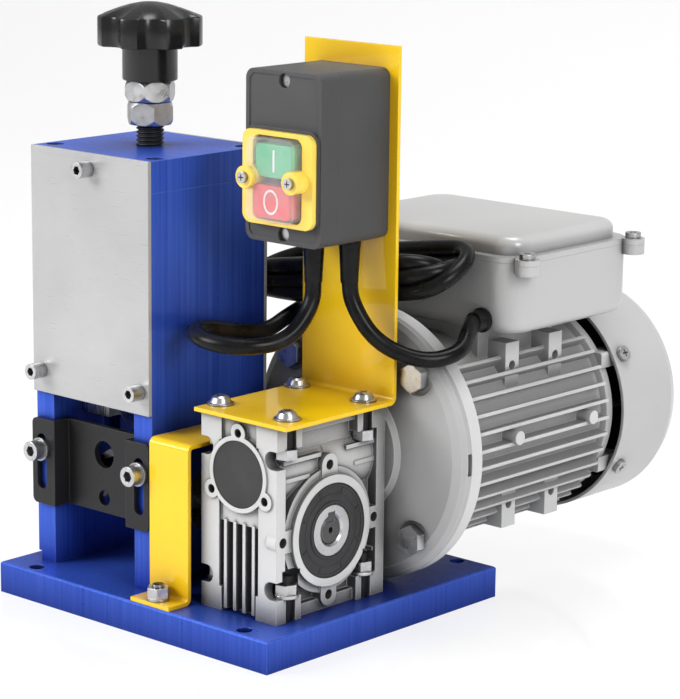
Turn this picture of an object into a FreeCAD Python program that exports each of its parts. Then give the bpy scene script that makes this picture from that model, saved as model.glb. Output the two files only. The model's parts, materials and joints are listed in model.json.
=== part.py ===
# Bench machine that cuts and strips the insulation of cable: a feed roller and a round blade in a
# tower, turned by a worm gearbox and a small motor, with a switch box on a bracket.
# Millimetres, +Z up, +X to the right along the front edge, +Y to the back. The origin is the centre
# of the base plate's underside.
import FreeCAD, Part
import math, os, re
import Sketcher
from FreeCAD import Placement, Rotation, Vector

SIZES = [
    # base plate
    ("base_length", 188), ("base_width", 170), ("base_thick", 16), ("base_chamfer", 0.8),
    ("base_hole_dia", 8), ("base_hole_span_x", 146.4), ("base_hole_span_y", 157.2),
    # tower
    ("tower_x", -42.7), ("tower_width", 83.4), ("tower_front", -67.1), ("tower_depth", 78.8),
    ("tower_top", 230.2), ("side_plate_thick", 12.5), ("top_plate_thick", 15.5),
    ("side_step_height", 4.5), ("side_step_depth", 2), ("groove_width", 12), ("groove_depth", 4),
    ("groove_bottom", 78), ("cover_thick", 2), ("cover_bottom", 105.2), ("cover_screw_z", 116.6),
    ("rear_screw_drop", 44.2), ("side_thread_depth", 14), ("long_thread_depth", 20),
    ("head_recess", 0.6),
    ("cover_screw_dia", 5), ("cover_head_dia", 8), ("cover_head_length", 8),
    ("top_screw_dia", 5), ("top_screw_inset", 8.5), ("top_screw_length", 26),
    ("foot_screw_dia", 6), ("foot_screw_inset", 14), ("foot_screw_length", 26),
    ("foot_screw_sunk", 6.5), ("hex_key_size", 4),
    # guide plate
    ("guide_thick", 3), ("guide_bottom", 46.9), ("guide_height", 44.4), ("guide_recess", 10),
    ("guide_overhang", 0.6), ("guide_slot_length", 29), ("guide_slot_width", 7),
    ("guide_slot_z", 69.1), ("guide_screw_z", 75.6), ("guide_screw_dia", 6),
    ("guide_head_dia", 10), ("guide_head_height", 6), ("guide_washer_thick", 1.8),
    ("guide_screw_length", 22), ("guide_thread_depth", 19),
    ("guide_washer_dia", 12), ("wire_hole_dia", 14), ("wire_hole_z", 77), ("thin_hole_dia", 8),
    ("thin_hole_z", 54.5), ("guide_corner", 3),
    # blade and its carrier
    ("carrier_bottom", 92.5), ("carrier_height", 62.5), ("carrier_depth", 40),
    ("slide_gap", 0.3), ("carrier_slot_width", 20), ("carrier_slot_height", 42.5),
    ("blade_z", 107.5), ("blade_radius", 24), ("blade_thick", 3), ("blade_bevel", 5),
    ("blade_shaft_dia", 10), ("blade_shaft_length", 43), ("blade_collar_dia", 18),
    ("blade_bearing_dia", 26), ("blade_bearing_width", 8), ("running_gap", 0.04),
    ("collar_dia", 21), ("collar_thick", 4.4), ("collar_pocket", 5), ("cap_thick", 4),
    ("cap_length", 44), ("cap_width", 34), ("cap_screw_dia", 4), ("cap_screw_inset", 5),
    ("cap_screw_length", 12), ("cap_thread_depth", 9), ("cap_key_size", 3), ("blade_edge", 0.2),
    # knob and adjusting screw
    ("screw_dia", 14), ("screw_in_hub", 13.3), ("lock_nut_clear", 10.6), ("lock_nut_height", 11.3),
    ("lock_nut_flats", 21), ("nut_spacing", 0.4), ("knob_nut_height", 10.2), ("knob_nut_flats", 22.5),
    ("hub_dia", 27.4), ("hub_height", 17.2), ("star_dia", 52),
    ("star_height", 15), ("dome_height", 6.5), ("valley_radius", 8.5), ("valley_depth", 4.2),
    ("knob_lobes", 7), ("knob_turn", 10),
    # drive line
    ("drive_y", -27.2), ("output_height", 40), ("drive_shaft_dia", 15), ("shoulder_dia", 18),
    ("drive_bearing_dia", 32), ("drive_bearing_width", 9), ("bearing_inset", 0.5),
    ("roller_radius", 15), ("roller_width", 30), ("roller_teeth", 30), ("tooth_depth", 1),
    ("key_size", 5),
    # guard over the drive shaft
    ("guard_left", 1.2), ("guard_width", 26.6), ("guard_thick", 2), ("guard_top", 96),
    ("guard_front", -71), ("guard_foot_front", -84.2), ("guard_back", 12.4),
    ("guard_foot_back", 26.4), ("guard_bend", 3.5), ("guard_bolt_dia", 6), ("guard_nut_flats", 10),
    ("guard_nut_height", 5), ("guard_washer_dia", 11), ("guard_bolt_y", -78.2),
    ("guard_rear_bolt_x", 9),
    # gearbox
    ("gear_x", 55.2), ("gear_width", 50), ("gear_front", 37), ("gear_rear", 40),
    ("gear_height", 97), ("centre_distance", 30), ("frame_thick", 6), ("pillar_width", 12),
    ("core_width", 38), ("foot_height", 12), ("foot_span_x", 44), ("foot_span_y", 54),
    ("foot_half_y", 7.2), ("slot_width", 6.6), ("notch_height", 9), ("notch_depth", 8),
    ("spigot_reach", 26.8), ("spigot_dia", 55), ("spigot_height", 2.2), ("boss_dia", 62),
    ("lug_circle", 65), ("lug_hole_dia", 5), ("lug_width", 11), ("lug_thick", 6),
    ("lug_hole_depth", 11), ("chamber_radius", 24.5), ("chamber_half", 10),
    ("output_bearing_dia", 47), ("output_bearing_width", 12), ("seal_width", 3.6),
    ("hollow_dia", 25), ("hollow_bore", 14), ("hollow_half", 26.5), ("worm_chamber_radius", 13),
    ("front_bearing_dia", 32), ("front_bearing_width", 10), ("rear_bearing_dia", 35),
    ("rear_bearing_width", 10), ("cap_ring_dia", 37.6), ("end_cap_dia", 33), ("end_cap_thick", 3),
    ("cap_lug_circle", 40.5), ("cap_lug_radius", 4.6), ("cap_lug_hole", 4.4),
    ("cooling_fins", 4), ("fin_pitch", 6.2), ("fin_thick", 1.8), ("fin_top", 61),
    ("stud_dia", 6), ("stud_top", 38), ("nut_flats", 10), ("nut_height", 5),
    ("nut_pocket_radius", 6.6), ("nut_pocket_height", 14),
    ("washer_dia", 12.4), ("washer_thick", 1.6),
    # worm and wheel
    ("wheel_teeth", 30), ("gear_module", 1.4), ("wheel_width", 16), ("worm_pitch_dia", 18),
    ("worm_turns", 6), ("worm_journal", 12), ("worm_rear_journal", 17), ("motor_shaft_dia", 11),
    ("mesh_slack", 0.9), ("shaft_overlap", 6),
    # motor
    ("bell_radius", 69.5), ("bell_rim_front", 18.8), ("joint_y", 26.1), ("bell_neck_radius", 31),
    ("bell_wall", 5), ("bolt_circle", 115), ("bolt_dia", 8), ("bolt_flats", 13),
    ("bolt_head", 5.5), ("motor_flange_back", 35.8), ("frame_radius", 50.5), ("frame_front", 39),
    ("frame_back", 154.8), ("fin_radius", 57.2), ("rib_count", 40), ("rib_thick", 1.8),
    ("frame_wall", 4.5), ("fin_root", 3), ("pad_root", 24), ("pad_hole_depth", 10),
    ("pad_half_z", 36), ("pad_reach", 44), ("pad_height", 24),
    ("pad_length", 10.6), ("pad_front_y", 87.5), ("pad_rear_y", 122.8), ("pad_hole_dia", 5),
    ("boss_front_y", 76), ("boss_rear_y", 137), ("boss_radius", 3.6), ("boss_reach", 59.5),
    ("boss_rise", 3),
    ("shield_back", 162), ("cowl_front", 162.6), ("cowl_back", 214), ("cowl_radius", 59.8),
    ("cowl_wall", 1.6), ("cowl_dome", 9), ("cowl_screw_y", 170), ("cowl_slots", 16),
    ("cowl_screw_dia", 4), ("cowl_head_dia", 8), ("cowl_head_height", 2.6), ("cowl_screw_length", 9),
    ("stator_front", 56), ("stator_back", 122), ("stator_bore", 29.5), ("rotor_radius", 29),
    ("rotor_dia", 15), ("motor_bearing_dia", 35), ("motor_bearing_width", 11),
    ("winding_reach", 12), ("leg_x", 44), ("leg_z", 28), ("leg_half_x", 5), ("leg_half_z", 4),
    ("leg_reach", 14), ("fan_radius", 43.5), ("fan_front", 170), ("fan_width", 26),
    ("fan_blades", 8), ("fan_blade_thick", 2.2), ("fan_disc_thick", 2.5), ("fan_hub_wall", 6),
    ("slot_start", 17), ("slot_run", 26), ("slot_span", 4), ("slot_depth", 6),
    # terminal box
    ("box_half_width", 66), ("box_front", 60.8), ("box_length", 99), ("box_bottom", 143),
    ("box_rim", 179), ("lid_top", 191), ("box_corner", 16), ("box_wall", 3), ("lid_step", 5),
    ("lid_rim_thick", 3), ("lid_screw_dia", 4), ("tab_radius", 6), ("tab_reach", 2),
    ("pedestal_half", 32), ("pedestal_length", 60), ("pedestal_inset", 14),
    ("wire_way_dia", 16), ("wire_way_x", 18), ("wire_way_y", 40), ("lid_hollow_wall", 2.5),
    ("lid_round", 5), ("box_round", 7), ("lid_head_dia", 8), ("lid_head_height", 2.8),
    ("capacitor_dia", 30), ("capacitor_length", 70),
    # bracket and switch box
    ("bracket_left", 28.2), ("bracket_width", 60.5), ("bracket_thick", 2),
    ("bracket_front", -67.2), ("bracket_back", 10.8), ("bracket_top", 287), ("bracket_bend", 4),
    ("bracket_screw_dia", 6), ("pan_head_dia", 11.5), ("pan_head_height", 4.4),
    ("bracket_screw_length", 19), ("switch_x", 59.2), ("switch_width", 48.6), ("switch_front", -39.2), ("switch_split", -27),
    ("switch_bottom", 194.5), ("switch_height", 82), ("switch_corner", 5), ("switch_wall", 2.5),
    ("panel_rim", 2.2), ("panel_recess", 0.6), ("gasket_thick", 1.4), ("gasket_reach", 0.8),
    ("bezel_width", 45.2), ("bezel_bottom", 203.5), ("bezel_height", 44.8), ("bezel_thick", 2.6),
    ("bezel_corner", 5), ("ear_radius", 5.4), ("ear_offset", 14.8), ("ear_reach", 7.2),
    ("ear_z", 226.2), ("ear_screw_dia", 3), ("ear_head_dia", 5.5), ("ear_head_height", 2),
    ("boot_width", 31), ("boot_height", 39.8), ("boot_reach", 5.4), ("boot_corner", 4),
    ("boot_gap", 0.2), ("membrane_thick", 0.8), ("button_width", 22.8), ("button_height", 15.6),
    ("start_sunk", 2.2), ("stop_sunk", 0.3), ("button_back", -33.6), ("button_corner", 2),
    ("button_travel", 3.5), ("start_z", 234.7), ("stop_z", 215.5), ("button_gap", 0.4),
    ("ear_clear", 0.3), ("module_width", 28), ("cover_hole_dia", 7), ("box_screw_inset", 4.6),
    ("post_dia", 9), ("post_screw_dia", 3.5), ("post_floor", 5), ("post_screw_reach", 12),
    # cords
    ("cord_dia", 8), ("grommet_dia", 13), ("grommet_length", 7), ("coil_half_height", 13),
    ("coil_half_length", 76), ("coil_half_width", 21.5), ("coil_round", 9), ("plug_dia", 17.6),
    ("plug_length", 15), ("gland_wall", 1),
]

doc = FreeCAD.newDocument("wire_stripping_machine")
sheet = doc.addObject("Spreadsheet::Sheet", "sizes")
for row, (alias, number) in enumerate(SIZES, start=1):
    sheet.set("A%d" % row, alias)
    sheet.set("B%d" % row, str(number))
    sheet.setAlias("B%d" % row, alias)
doc.recompute()

WORDS = re.compile(r"[a-z][a-z0-9_]*[a-z0-9]")
ALIASES = {alias for alias, number in SIZES}
NODES = []


def size(alias):
    """A driving dimension's number, read from the sheet."""
    return float(sheet.get(alias))


def cells(text):
    """An expression with each driving dimension written as its cell of the sheet."""
    return WORDS.sub(lambda word: "sizes." + word.group(0) if word.group(0) in ALIASES
                     else word.group(0), str(text))


def bind(piece, **sizes_of):
    for name, text in sizes_of.items():
        piece.setExpression(name, cells(text))


def put(piece, x, y, z, rotation=None):
    """Turn a piece, then bind where it stands."""
    if rotation is not None:
        piece.Placement = Placement(Vector(0, 0, 0), rotation)
    piece.setExpression("Placement.Base.x", cells(x))
    piece.setExpression("Placement.Base.y", cells(y))
    piece.setExpression("Placement.Base.z", cells(z))
    return piece


# Rotations that lay a piece's own Z along an axis
ALONG = {"X": Rotation(Vector(0, 1, 0), 90), "Y": Rotation(Vector(1, 0, 0), -90),
         "Z": Rotation()}


def spot(axis, start, across):
    """Corner of a piece that runs along an axis, from its start and its two other places."""
    places = list(across)
    places.insert("XYZ".index(axis), start)
    return places


def block(x, y, z):
    """A box between two places along each axis."""
    piece = doc.addObject("Part::Box", "block")
    bind(piece, Length="(%s) - (%s)" % (x[1], x[0]), Width="(%s) - (%s)" % (y[1], y[0]),
         Height="(%s) - (%s)" % (z[1], z[0]))
    return put(piece, x[0], y[0], z[0])


def rod(axis, radius, along, across):
    """A cylinder between two places along an axis, at the two other coordinates."""
    piece = doc.addObject("Part::Cylinder", "rod")
    bind(piece, Radius=radius, Height="(%s) - (%s)" % (along[1], along[0]))
    return put(piece, *spot(axis, along[0], across), ALONG[axis])


def hexagon(axis, flats, along, across, turn=0):
    """A hexagonal prism, given by its size across the flats."""
    piece = doc.addObject("Part::Prism", "hexagon")
    piece.Polygon = 6
    bind(piece, Circumradius="(%s) / 1.7320508" % flats, Height="(%s) - (%s)" % (along[1], along[0]))
    return put(piece, *spot(axis, along[0], across), ALONG[axis] * Rotation(Vector(0, 0, 1), turn))


def fuse(pieces):
    piece = doc.addObject("Part::MultiFuse", "joined")
    piece.Shapes = list(pieces)
    return piece


def cut(base, tools):
    """The base with tools taken out of it."""
    piece = doc.addObject("Part::Cut", "cut")
    piece.Base = base
    piece.Tool = tools[0] if len(tools) == 1 else fuse(tools)
    return piece


def group(pieces):
    """Separate solids that share one node."""
    piece = doc.addObject("Part::Compound", "group")
    piece.Links = list(pieces)
    return piece


def node(label, piece):
    piece.Label = label
    NODES.append(piece)
    return piece


def origin_plane(body, role):
    return next(item for item in body.Origin.OriginFeatures if item.Role == role)


def outline_sketch(body, role, points):
    """A closed outline of straight lines, each corner held by two bound dimensions."""
    sketch = body.newObject("Sketcher::SketchObject", "outline")
    sketch.AttachmentSupport = [(origin_plane(body, role), "")]
    sketch.MapMode = "FlatFace"
    count = len(points)
    rough = [Vector(*[reading(text) for text in point], 0) for point in points]
    for index in range(count):
        sketch.addGeometry(Part.LineSegment(rough[index], rough[(index + 1) % count]), False)
    for index in range(count):
        sketch.addConstraint(Sketcher.Constraint("Coincident", index, 2, (index + 1) % count, 1))
    for index, point in enumerate(points):
        for kind, text in zip(("DistanceX", "DistanceY"), point):
            place = sketch.addConstraint(
                Sketcher.Constraint(kind, -1, 1, index, 1, reading(text)))
            sketch.setExpression("Constraints[%d]" % place, cells(text))
    return sketch


gauge = doc.addObject("App::FeaturePython", "gauge")
gauge.addProperty("App::PropertyFloat", "reading")


def reading(text):
    """The number that an expression of driving dimensions gives now."""
    gauge.setExpression("reading", cells(text))
    gauge.recompute()
    return gauge.reading


def turned(axis, x, y, z, profile):
    """A turned piece: its half outline as pairs of radius and place along the axis."""
    body = doc.addObject("PartDesign::Body", "turned")
    sketch = outline_sketch(body, "XZ_Plane", profile)
    spin = body.newObject("PartDesign::Revolution", "spin")
    spin.Profile = sketch
    spin.ReferenceAxis = (sketch, ["V_Axis"])
    spin.Angle = 360
    body.Tip = spin
    return put(body, x, y, z, ALONG[axis])


def ring(axis, bore, radius, along, across):
    """A tube between two places along an axis."""
    low, high = along
    return turned(axis, *spot(axis, 0, across),
                  [(bore, low), (radius, low), (radius, high), (bore, high)])


def chosen_edges(feature, wanted):
    """Names of the edges of a feature that a test picks."""
    return ["Edge%d" % (index + 1) for index, edge in enumerate(feature.Shape.Edges)
            if wanted(edge)]


def rounded(body, feature, wanted, radius):
    """A fillet on the edges of a body's feature that a test picks."""
    doc.recompute()
    fillet = body.newObject("PartDesign::Fillet", "round")
    fillet.Base = (feature, chosen_edges(feature, wanted))
    bind(fillet, Radius=radius)
    body.Tip = fillet
    return fillet


def upright(edge):
    return abs(edge.tangentAt(edge.FirstParameter).z) > 0.999


def level_at(height):
    return lambda edge: all(abs(v.Z - height) < 1e-6 for v in edge.Vertexes)


def slab(x, y, z, corner=None, top=None, bottom=None):
    """A pad between two places along each axis, with rounded upright, top or bottom edges."""
    body = doc.addObject("PartDesign::Body", "slab")
    sketch = outline_sketch(body, "XY_Plane", [(x[0], y[0]), (x[1], y[0]), (x[1], y[1]), (x[0], y[1])])
    feature = body.newObject("PartDesign::Pad", "pad")
    feature.Profile = sketch
    bind(feature, Length="(%s) - (%s)" % (z[1], z[0]))
    body.Tip = feature
    if corner is not None:
        feature = rounded(body, feature, upright, corner)
    if bottom is not None:
        feature = rounded(body, feature, level_at(0), bottom)
    if top is not None:
        feature = rounded(body, feature, level_at(reading("(%s) - (%s)" % (z[1], z[0]))), top)
    return put(body, 0, 0, z[0])


def strip(points, along, bend, inner):
    """A bent sheet strip: its outline in Y and Z, padded along X, with rounded bends."""
    body = doc.addObject("PartDesign::Body", "strip")
    sketch = outline_sketch(body, "YZ_Plane", points)
    feature = body.newObject("PartDesign::Pad", "pad")
    feature.Profile = sketch
    bind(feature, Length="(%s) - (%s)" % (along[1], along[0]))
    body.Tip = feature

    def at_corner(corners):
        spots = [(reading(y), reading(z)) for y, z in corners]
        return lambda edge: (abs(edge.tangentAt(edge.FirstParameter).x) > 0.999
                             and any(abs(edge.Vertexes[0].Y - y) + abs(edge.Vertexes[0].Z - z) < 1e-4
                                     for y, z in spots))

    outer_corners, inner_corners = inner
    feature = rounded(body, feature, at_corner(outer_corners), bend)
    rounded(body, feature, at_corner(inner_corners), "(%s) - %s" % (bend, "bracket_thick"))
    return put(body, along[0], 0, 0)


# Places that several pieces share
DRIVE_Z = "(base_thick + output_height)"
WORM_Z = "(base_thick + output_height + centre_distance)"
TOWER_LEFT = "(tower_x - tower_width / 2)"
TOWER_RIGHT = "(tower_x + tower_width / 2)"
TOWER_BACK = "(tower_front + tower_depth)"
PLATE_TOP = "(tower_top - top_plate_thick)"
INSIDE_LEFT = "(tower_x - tower_width / 2 + side_plate_thick)"
INSIDE_RIGHT = "(tower_x + tower_width / 2 - side_plate_thick)"
MID_LEFT = "(tower_x - tower_width / 2 + side_plate_thick / 2)"
MID_RIGHT = "(tower_x + tower_width / 2 - side_plate_thick / 2)"
GEAR_FRONT = "(drive_y - gear_front)"
GEAR_BACK = "(drive_y + gear_rear)"
GEAR_TOP = "(base_thick + gear_height)"
CARRIER_TOP = "(carrier_bottom + carrier_height)"
REAR_SCREW_Z = "(tower_top - rear_screw_drop)"
LOCK_NUT_LOW = "(tower_top + lock_nut_clear)"
KNOB_NUT_LOW = "(tower_top + lock_nut_clear + lock_nut_height + nut_spacing)"
SCREW_TOP = "(%s + knob_nut_height + screw_in_hub)" % KNOB_NUT_LOW
SWITCH_LEFT = "(switch_x - switch_width / 2)"
SWITCH_RIGHT = "(switch_x + switch_width / 2)"
SWITCH_TOP = "(switch_bottom + switch_height)"
BEZEL_BACK = "(switch_front - gasket_thick)"
BEZEL_FACE = "(switch_front - gasket_thick - bezel_thick)"
BOOT_LEFT = "(switch_x - boot_width / 2)"
BOOT_RIGHT = "(switch_x + boot_width / 2)"
BOOT_LOW = "(bezel_bottom + bezel_height / 2 - boot_height / 2)"
BOOT_HIGH = "(bezel_bottom + bezel_height / 2 + boot_height / 2)"
BOOT_FACE = "(switch_front - gasket_thick - bezel_thick - boot_reach)"
EAR_PLACES = ("switch_x - ear_offset", "switch_x + ear_offset")
COWL_SCREW_ANGLES = (-30, 30, 150, 210)


def cap_screw(axis, sign, seat, across, dia, length, head_dia, head_height, key="hex_key_size"):
    """A socket-head screw whose head sits on a face and points to the sign's side."""
    if sign > 0:
        head = (seat, "(%s) + (%s)" % (seat, head_height))
        shank = ("(%s) - (%s)" % (seat, length), seat)
        socket = ("(%s) + (%s) / 2" % (seat, head_height), "(%s) + (%s) + 1" % (seat, head_height))
    else:
        head = ("(%s) - (%s)" % (seat, head_height), seat)
        shank = (seat, "(%s) + (%s)" % (seat, length))
        socket = ("(%s) - (%s) - 1" % (seat, head_height), "(%s) - (%s) / 2" % (seat, head_height))
    solid = fuse([rod(axis, "(%s) / 2" % head_dia, head, across),
                  rod(axis, "(%s) / 2" % dia, shank, across)])
    return cut(solid, [hexagon(axis, key, socket, across)])


def hole(axis, dia, along, across, gap="running_gap"):
    """A drill that leaves a running gap round a screw or shaft."""
    return rod(axis, "(%s) / 2 + %s" % (dia, gap), along, across)


# Base plate
def make_base_plate():
    body = doc.addObject("PartDesign::Body", "base")
    half_x, half_y = "base_length / 2", "base_width / 2"
    sketch = outline_sketch(body, "XY_Plane", [
        ("-" + half_x, "-" + half_y), (half_x, "-" + half_y), (half_x, half_y), ("-" + half_x, half_y)])
    pad = body.newObject("PartDesign::Pad", "pad")
    pad.Profile = sketch
    bind(pad, Length="base_thick")
    body.Tip = pad
    doc.recompute()
    bevel = body.newObject("PartDesign::Chamfer", "bevel")
    bevel.Base = (pad, chosen_edges(pad, level_at(size("base_thick"))))
    bind(bevel, Size="base_chamfer")
    body.Tip = bevel
    through = ("-1", "base_thick + 1")
    drills = [rod("Z", "base_hole_dia / 2", through,
                  ("%d * base_hole_span_x / 2" % side, "%d * base_hole_span_y / 2" % end))
              for side in (-1, 1) for end in (-1, 1)]
    for x, y in foot_screw_places():
        drills.append(hole("Z", "foot_screw_dia", through, (x, y)))
        drills.append(rod("Z", "foot_screw_dia", ("-1", "foot_screw_sunk"), (x, y)))
    for x, y in gearbox_stud_places():
        drills.append(hole("Z", "stud_dia", ("base_thick / 2", "base_thick + 1"), (x, y)))
    for x, y in guard_bolt_places():
        drills.append(hole("Z", "guard_bolt_dia", ("base_thick / 2", "base_thick + 1"), (x, y)))
    node("base_plate", cut(body, drills))


def foot_screw_places():
    return [(x, y) for x in (MID_LEFT, MID_RIGHT)
            for y in ("tower_front + foot_screw_inset", TOWER_BACK + " - foot_screw_inset")]


def top_screw_places():
    return [(x, y) for x in (MID_LEFT, MID_RIGHT)
            for y in ("tower_front + top_screw_inset", TOWER_BACK + " - top_screw_inset")]


def cover_screw_places(height):
    """Across X and Z: one in the top plate's edge, one low in each side plate's edge."""
    return [("tower_x", "(tower_top - top_plate_thick / 2)"), (MID_LEFT, height), (MID_RIGHT, height)]


def gearbox_stud_places():
    return [("gear_x + %d * foot_span_x / 2" % side, "drive_y + %d * foot_span_y / 2" % end)
            for side in (-1, 1) for end in (-1, 1)]


def guard_bolt_places():
    return [("guard_left + guard_width / 2", "guard_bolt_y"),
            ("guard_rear_bolt_x", "(guard_back + guard_foot_back) / 2 + 1")]


# Tower: two side plates, a top plate and two covers
def make_side_plate(label, outer, inner, middle, sign):
    """One side plate. The sign is -1 on the left and 1 on the right."""
    low, high = (outer, inner) if sign < 0 else (inner, outer)
    plate = block((low, high), ("tower_front", TOWER_BACK), ("base_thick", PLATE_TOP))
    centre = ("drive_y", DRIVE_Z)
    pocket = "(drive_bearing_width + bearing_inset + 0.1)"
    if sign < 0:
        pocket_run = (outer + " - 1", outer + " + " + pocket)
        groove_run = (inner + " - groove_depth", inner + " + 1")
        step_run = (outer + " - 1", outer + " + side_step_depth")
    else:
        pocket_run = (outer + " - " + pocket, outer + " + 1")
        groove_run = (inner + " - 1", inner + " + groove_depth")
        step_run = (outer + " - side_step_depth", outer + " + 1")
    tools = [
        rod("X", "drive_bearing_dia / 2 + running_gap", pocket_run, centre),
        rod("X", "drive_bearing_dia / 2 - 3", (low + " - 1", high + " + 1"), centre),
        block(groove_run, ("drive_y - groove_width / 2", "drive_y + groove_width / 2"),
              ("groove_bottom", PLATE_TOP + " + 1")),
        block(step_run, ("tower_front - 1", TOWER_BACK + " + 1"),
              ("base_thick - 1", "base_thick + side_step_height")),
        hole("Y", "guide_screw_dia", ("tower_front - 1", "tower_front + guide_thread_depth"),
             (middle, "guide_screw_z")),
        hole("Y", "cover_screw_dia", ("tower_front - 1", "tower_front + side_thread_depth"),
             (middle, "cover_screw_z")),
        hole("Y", "cover_screw_dia", (TOWER_BACK + " - side_thread_depth", TOWER_BACK + " + 1"),
             (middle, REAR_SCREW_Z)),
    ]
    for x, y in top_screw_places():
        if x == middle:
            tools.append(hole("Z", "top_screw_dia", (PLATE_TOP + " - long_thread_depth", PLATE_TOP + " + 1"), (x, y)))
    for x, y in foot_screw_places():
        if x == middle:
            tools.append(hole("Z", "foot_screw_dia", ("base_thick - 1", "base_thick + long_thread_depth"), (x, y)))
    node(label, cut(plate, tools))


def make_tower():
    make_side_plate("left_side_plate", TOWER_LEFT, INSIDE_LEFT, MID_LEFT, -1)
    make_side_plate("right_side_plate", TOWER_RIGHT, INSIDE_RIGHT, MID_RIGHT, 1)
    plate = block((TOWER_LEFT, TOWER_RIGHT), ("tower_front", TOWER_BACK), (PLATE_TOP, "tower_top"))
    tools = [hole("Z", "screw_dia", (PLATE_TOP + " - 1", "tower_top + 1"), ("tower_x", "drive_y"))]
    seat = "(tower_top - top_screw_dia - head_recess)"
    for x, y in top_screw_places():
        tools.append(hole("Z", "top_screw_dia", (PLATE_TOP + " - 1", "tower_top + 1"), (x, y)))
        tools.append(rod("Z", "top_screw_dia * 0.9", (seat, "tower_top + 1"), (x, y)))
    x, z = cover_screw_places("cover_screw_z")[0]
    tools.append(hole("Y", "cover_screw_dia", ("tower_front - 1", "tower_front + side_thread_depth"), (x, z)))
    tools.append(hole("Y", "cover_screw_dia", (TOWER_BACK + " - side_thread_depth", TOWER_BACK + " + 1"),
                      (x, z)))
    node("top_plate", cut(plate, tools))
    screws = [cap_screw("Z", 1, seat, place, "top_screw_dia",
                        "top_screw_length", "top_screw_dia * 1.7", "top_screw_dia")
              for place in top_screw_places()]
    screws += [cap_screw("Z", -1, "foot_screw_sunk", place, "foot_screw_dia",
                         "foot_screw_length", "foot_screw_dia * 1.7", "foot_screw_dia")
               for place in foot_screw_places()]
    node("tower_screws", group(screws))
    screws = []
    for label, sign, height, face, back in (
            ("front_cover", -1, "cover_screw_z", "(tower_front - cover_thick)", "tower_front"),
            ("rear_cover", 1, REAR_SCREW_Z, TOWER_BACK, "(%s + cover_thick)" % TOWER_BACK)):
        sheet_metal = block((TOWER_LEFT, TOWER_RIGHT), (face, back), ("cover_bottom", "tower_top"))
        places = cover_screw_places(height)
        drills = [rod("Y", "cover_screw_dia / 2 + 0.25", (face + " - 1", back + " + 1"), place)
                  for place in places]
        node(label, cut(sheet_metal, drills))
        screws += [cap_screw("Y", sign, face if sign < 0 else back, place, "cover_screw_dia",
                             "(cover_thick + 12)", "cover_head_dia", "cover_head_length")
                   for place in places]
    node("cover_screws", group(screws))


# Guide plate that the cable is pushed through, on slotted ears
def make_guide_plate():
    ear_left = "(%s - guide_overhang)" % TOWER_LEFT
    ear_right = "(%s + guide_overhang)" % TOWER_RIGHT
    wall_left = "(%s + slide_gap)" % INSIDE_LEFT
    wall_right = "(%s - slide_gap)" % INSIDE_RIGHT
    face = "(tower_front - guide_thick)"
    panel_face = "(%s + guide_recess)" % face
    panel_back = "(%s + guide_thick)" % panel_face
    top = "guide_bottom + guide_height"
    body = doc.addObject("PartDesign::Body", "guide")
    sketch = outline_sketch(body, "XY_Plane", [
        (ear_left, face), (wall_left + " + guide_thick", face),
        (wall_left + " + guide_thick", panel_face), (wall_right + " - guide_thick", panel_face),
        (wall_right + " - guide_thick", face), (ear_right, face), (ear_right, "tower_front"),
        (wall_right, "tower_front"), (wall_right, panel_back), (wall_left, panel_back),
        (wall_left, "tower_front"), (ear_left, "tower_front")])
    pad = body.newObject("PartDesign::Pad", "pad")
    pad.Profile = sketch
    bind(pad, Length="guide_height")
    body.Tip = pad
    left, right = reading(ear_left), reading(ear_right)

    def ear_corner(edge):
        run = edge.tangentAt(edge.FirstParameter)
        ends = edge.Vertexes
        return abs(run.y) > 0.999 and min(abs(ends[0].X - left), abs(ends[0].X - right)) < 1e-6

    rounded(body, pad, ear_corner, "guide_corner")
    put(body, 0, 0, "guide_bottom")
    tools = [rod("Y", "wire_hole_dia / 2", (panel_face + " - 1", panel_back + " + 1"), ("tower_x", "wire_hole_z")),
             rod("Y", "thin_hole_dia / 2", (panel_face + " - 1", panel_back + " + 1"), ("tower_x", "thin_hole_z"))]
    half = "guide_slot_width / 2"
    reach = "(guide_slot_length / 2 - guide_slot_width / 2)"
    for middle in (MID_LEFT, MID_RIGHT):
        run = (face + " - 1", "tower_front + 1")
        tools.append(rod("Y", half, run, (middle, "guide_slot_z - " + reach)))
        tools.append(rod("Y", half, run, (middle, "guide_slot_z + " + reach)))
        tools.append(block((middle + " - " + half, middle + " + " + half), run,
                           ("guide_slot_z - " + reach, "guide_slot_z + " + reach)))
    node("guide_plate", cut(body, tools))
    screws = []
    for middle in (MID_LEFT, MID_RIGHT):
        place = (middle, "guide_screw_z")
        washer_face = "(%s - guide_washer_thick)" % face
        screws.append(cap_screw("Y", -1, washer_face, place, "guide_screw_dia",
                                "guide_screw_length", "guide_head_dia", "guide_head_height", "hex_key_size + 1"))
        screws.append(ring("Y", "guide_screw_dia / 2 + running_gap", "guide_washer_dia / 2",
                           (washer_face, face), place))
    node("guide_plate_screws", group(screws))


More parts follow.
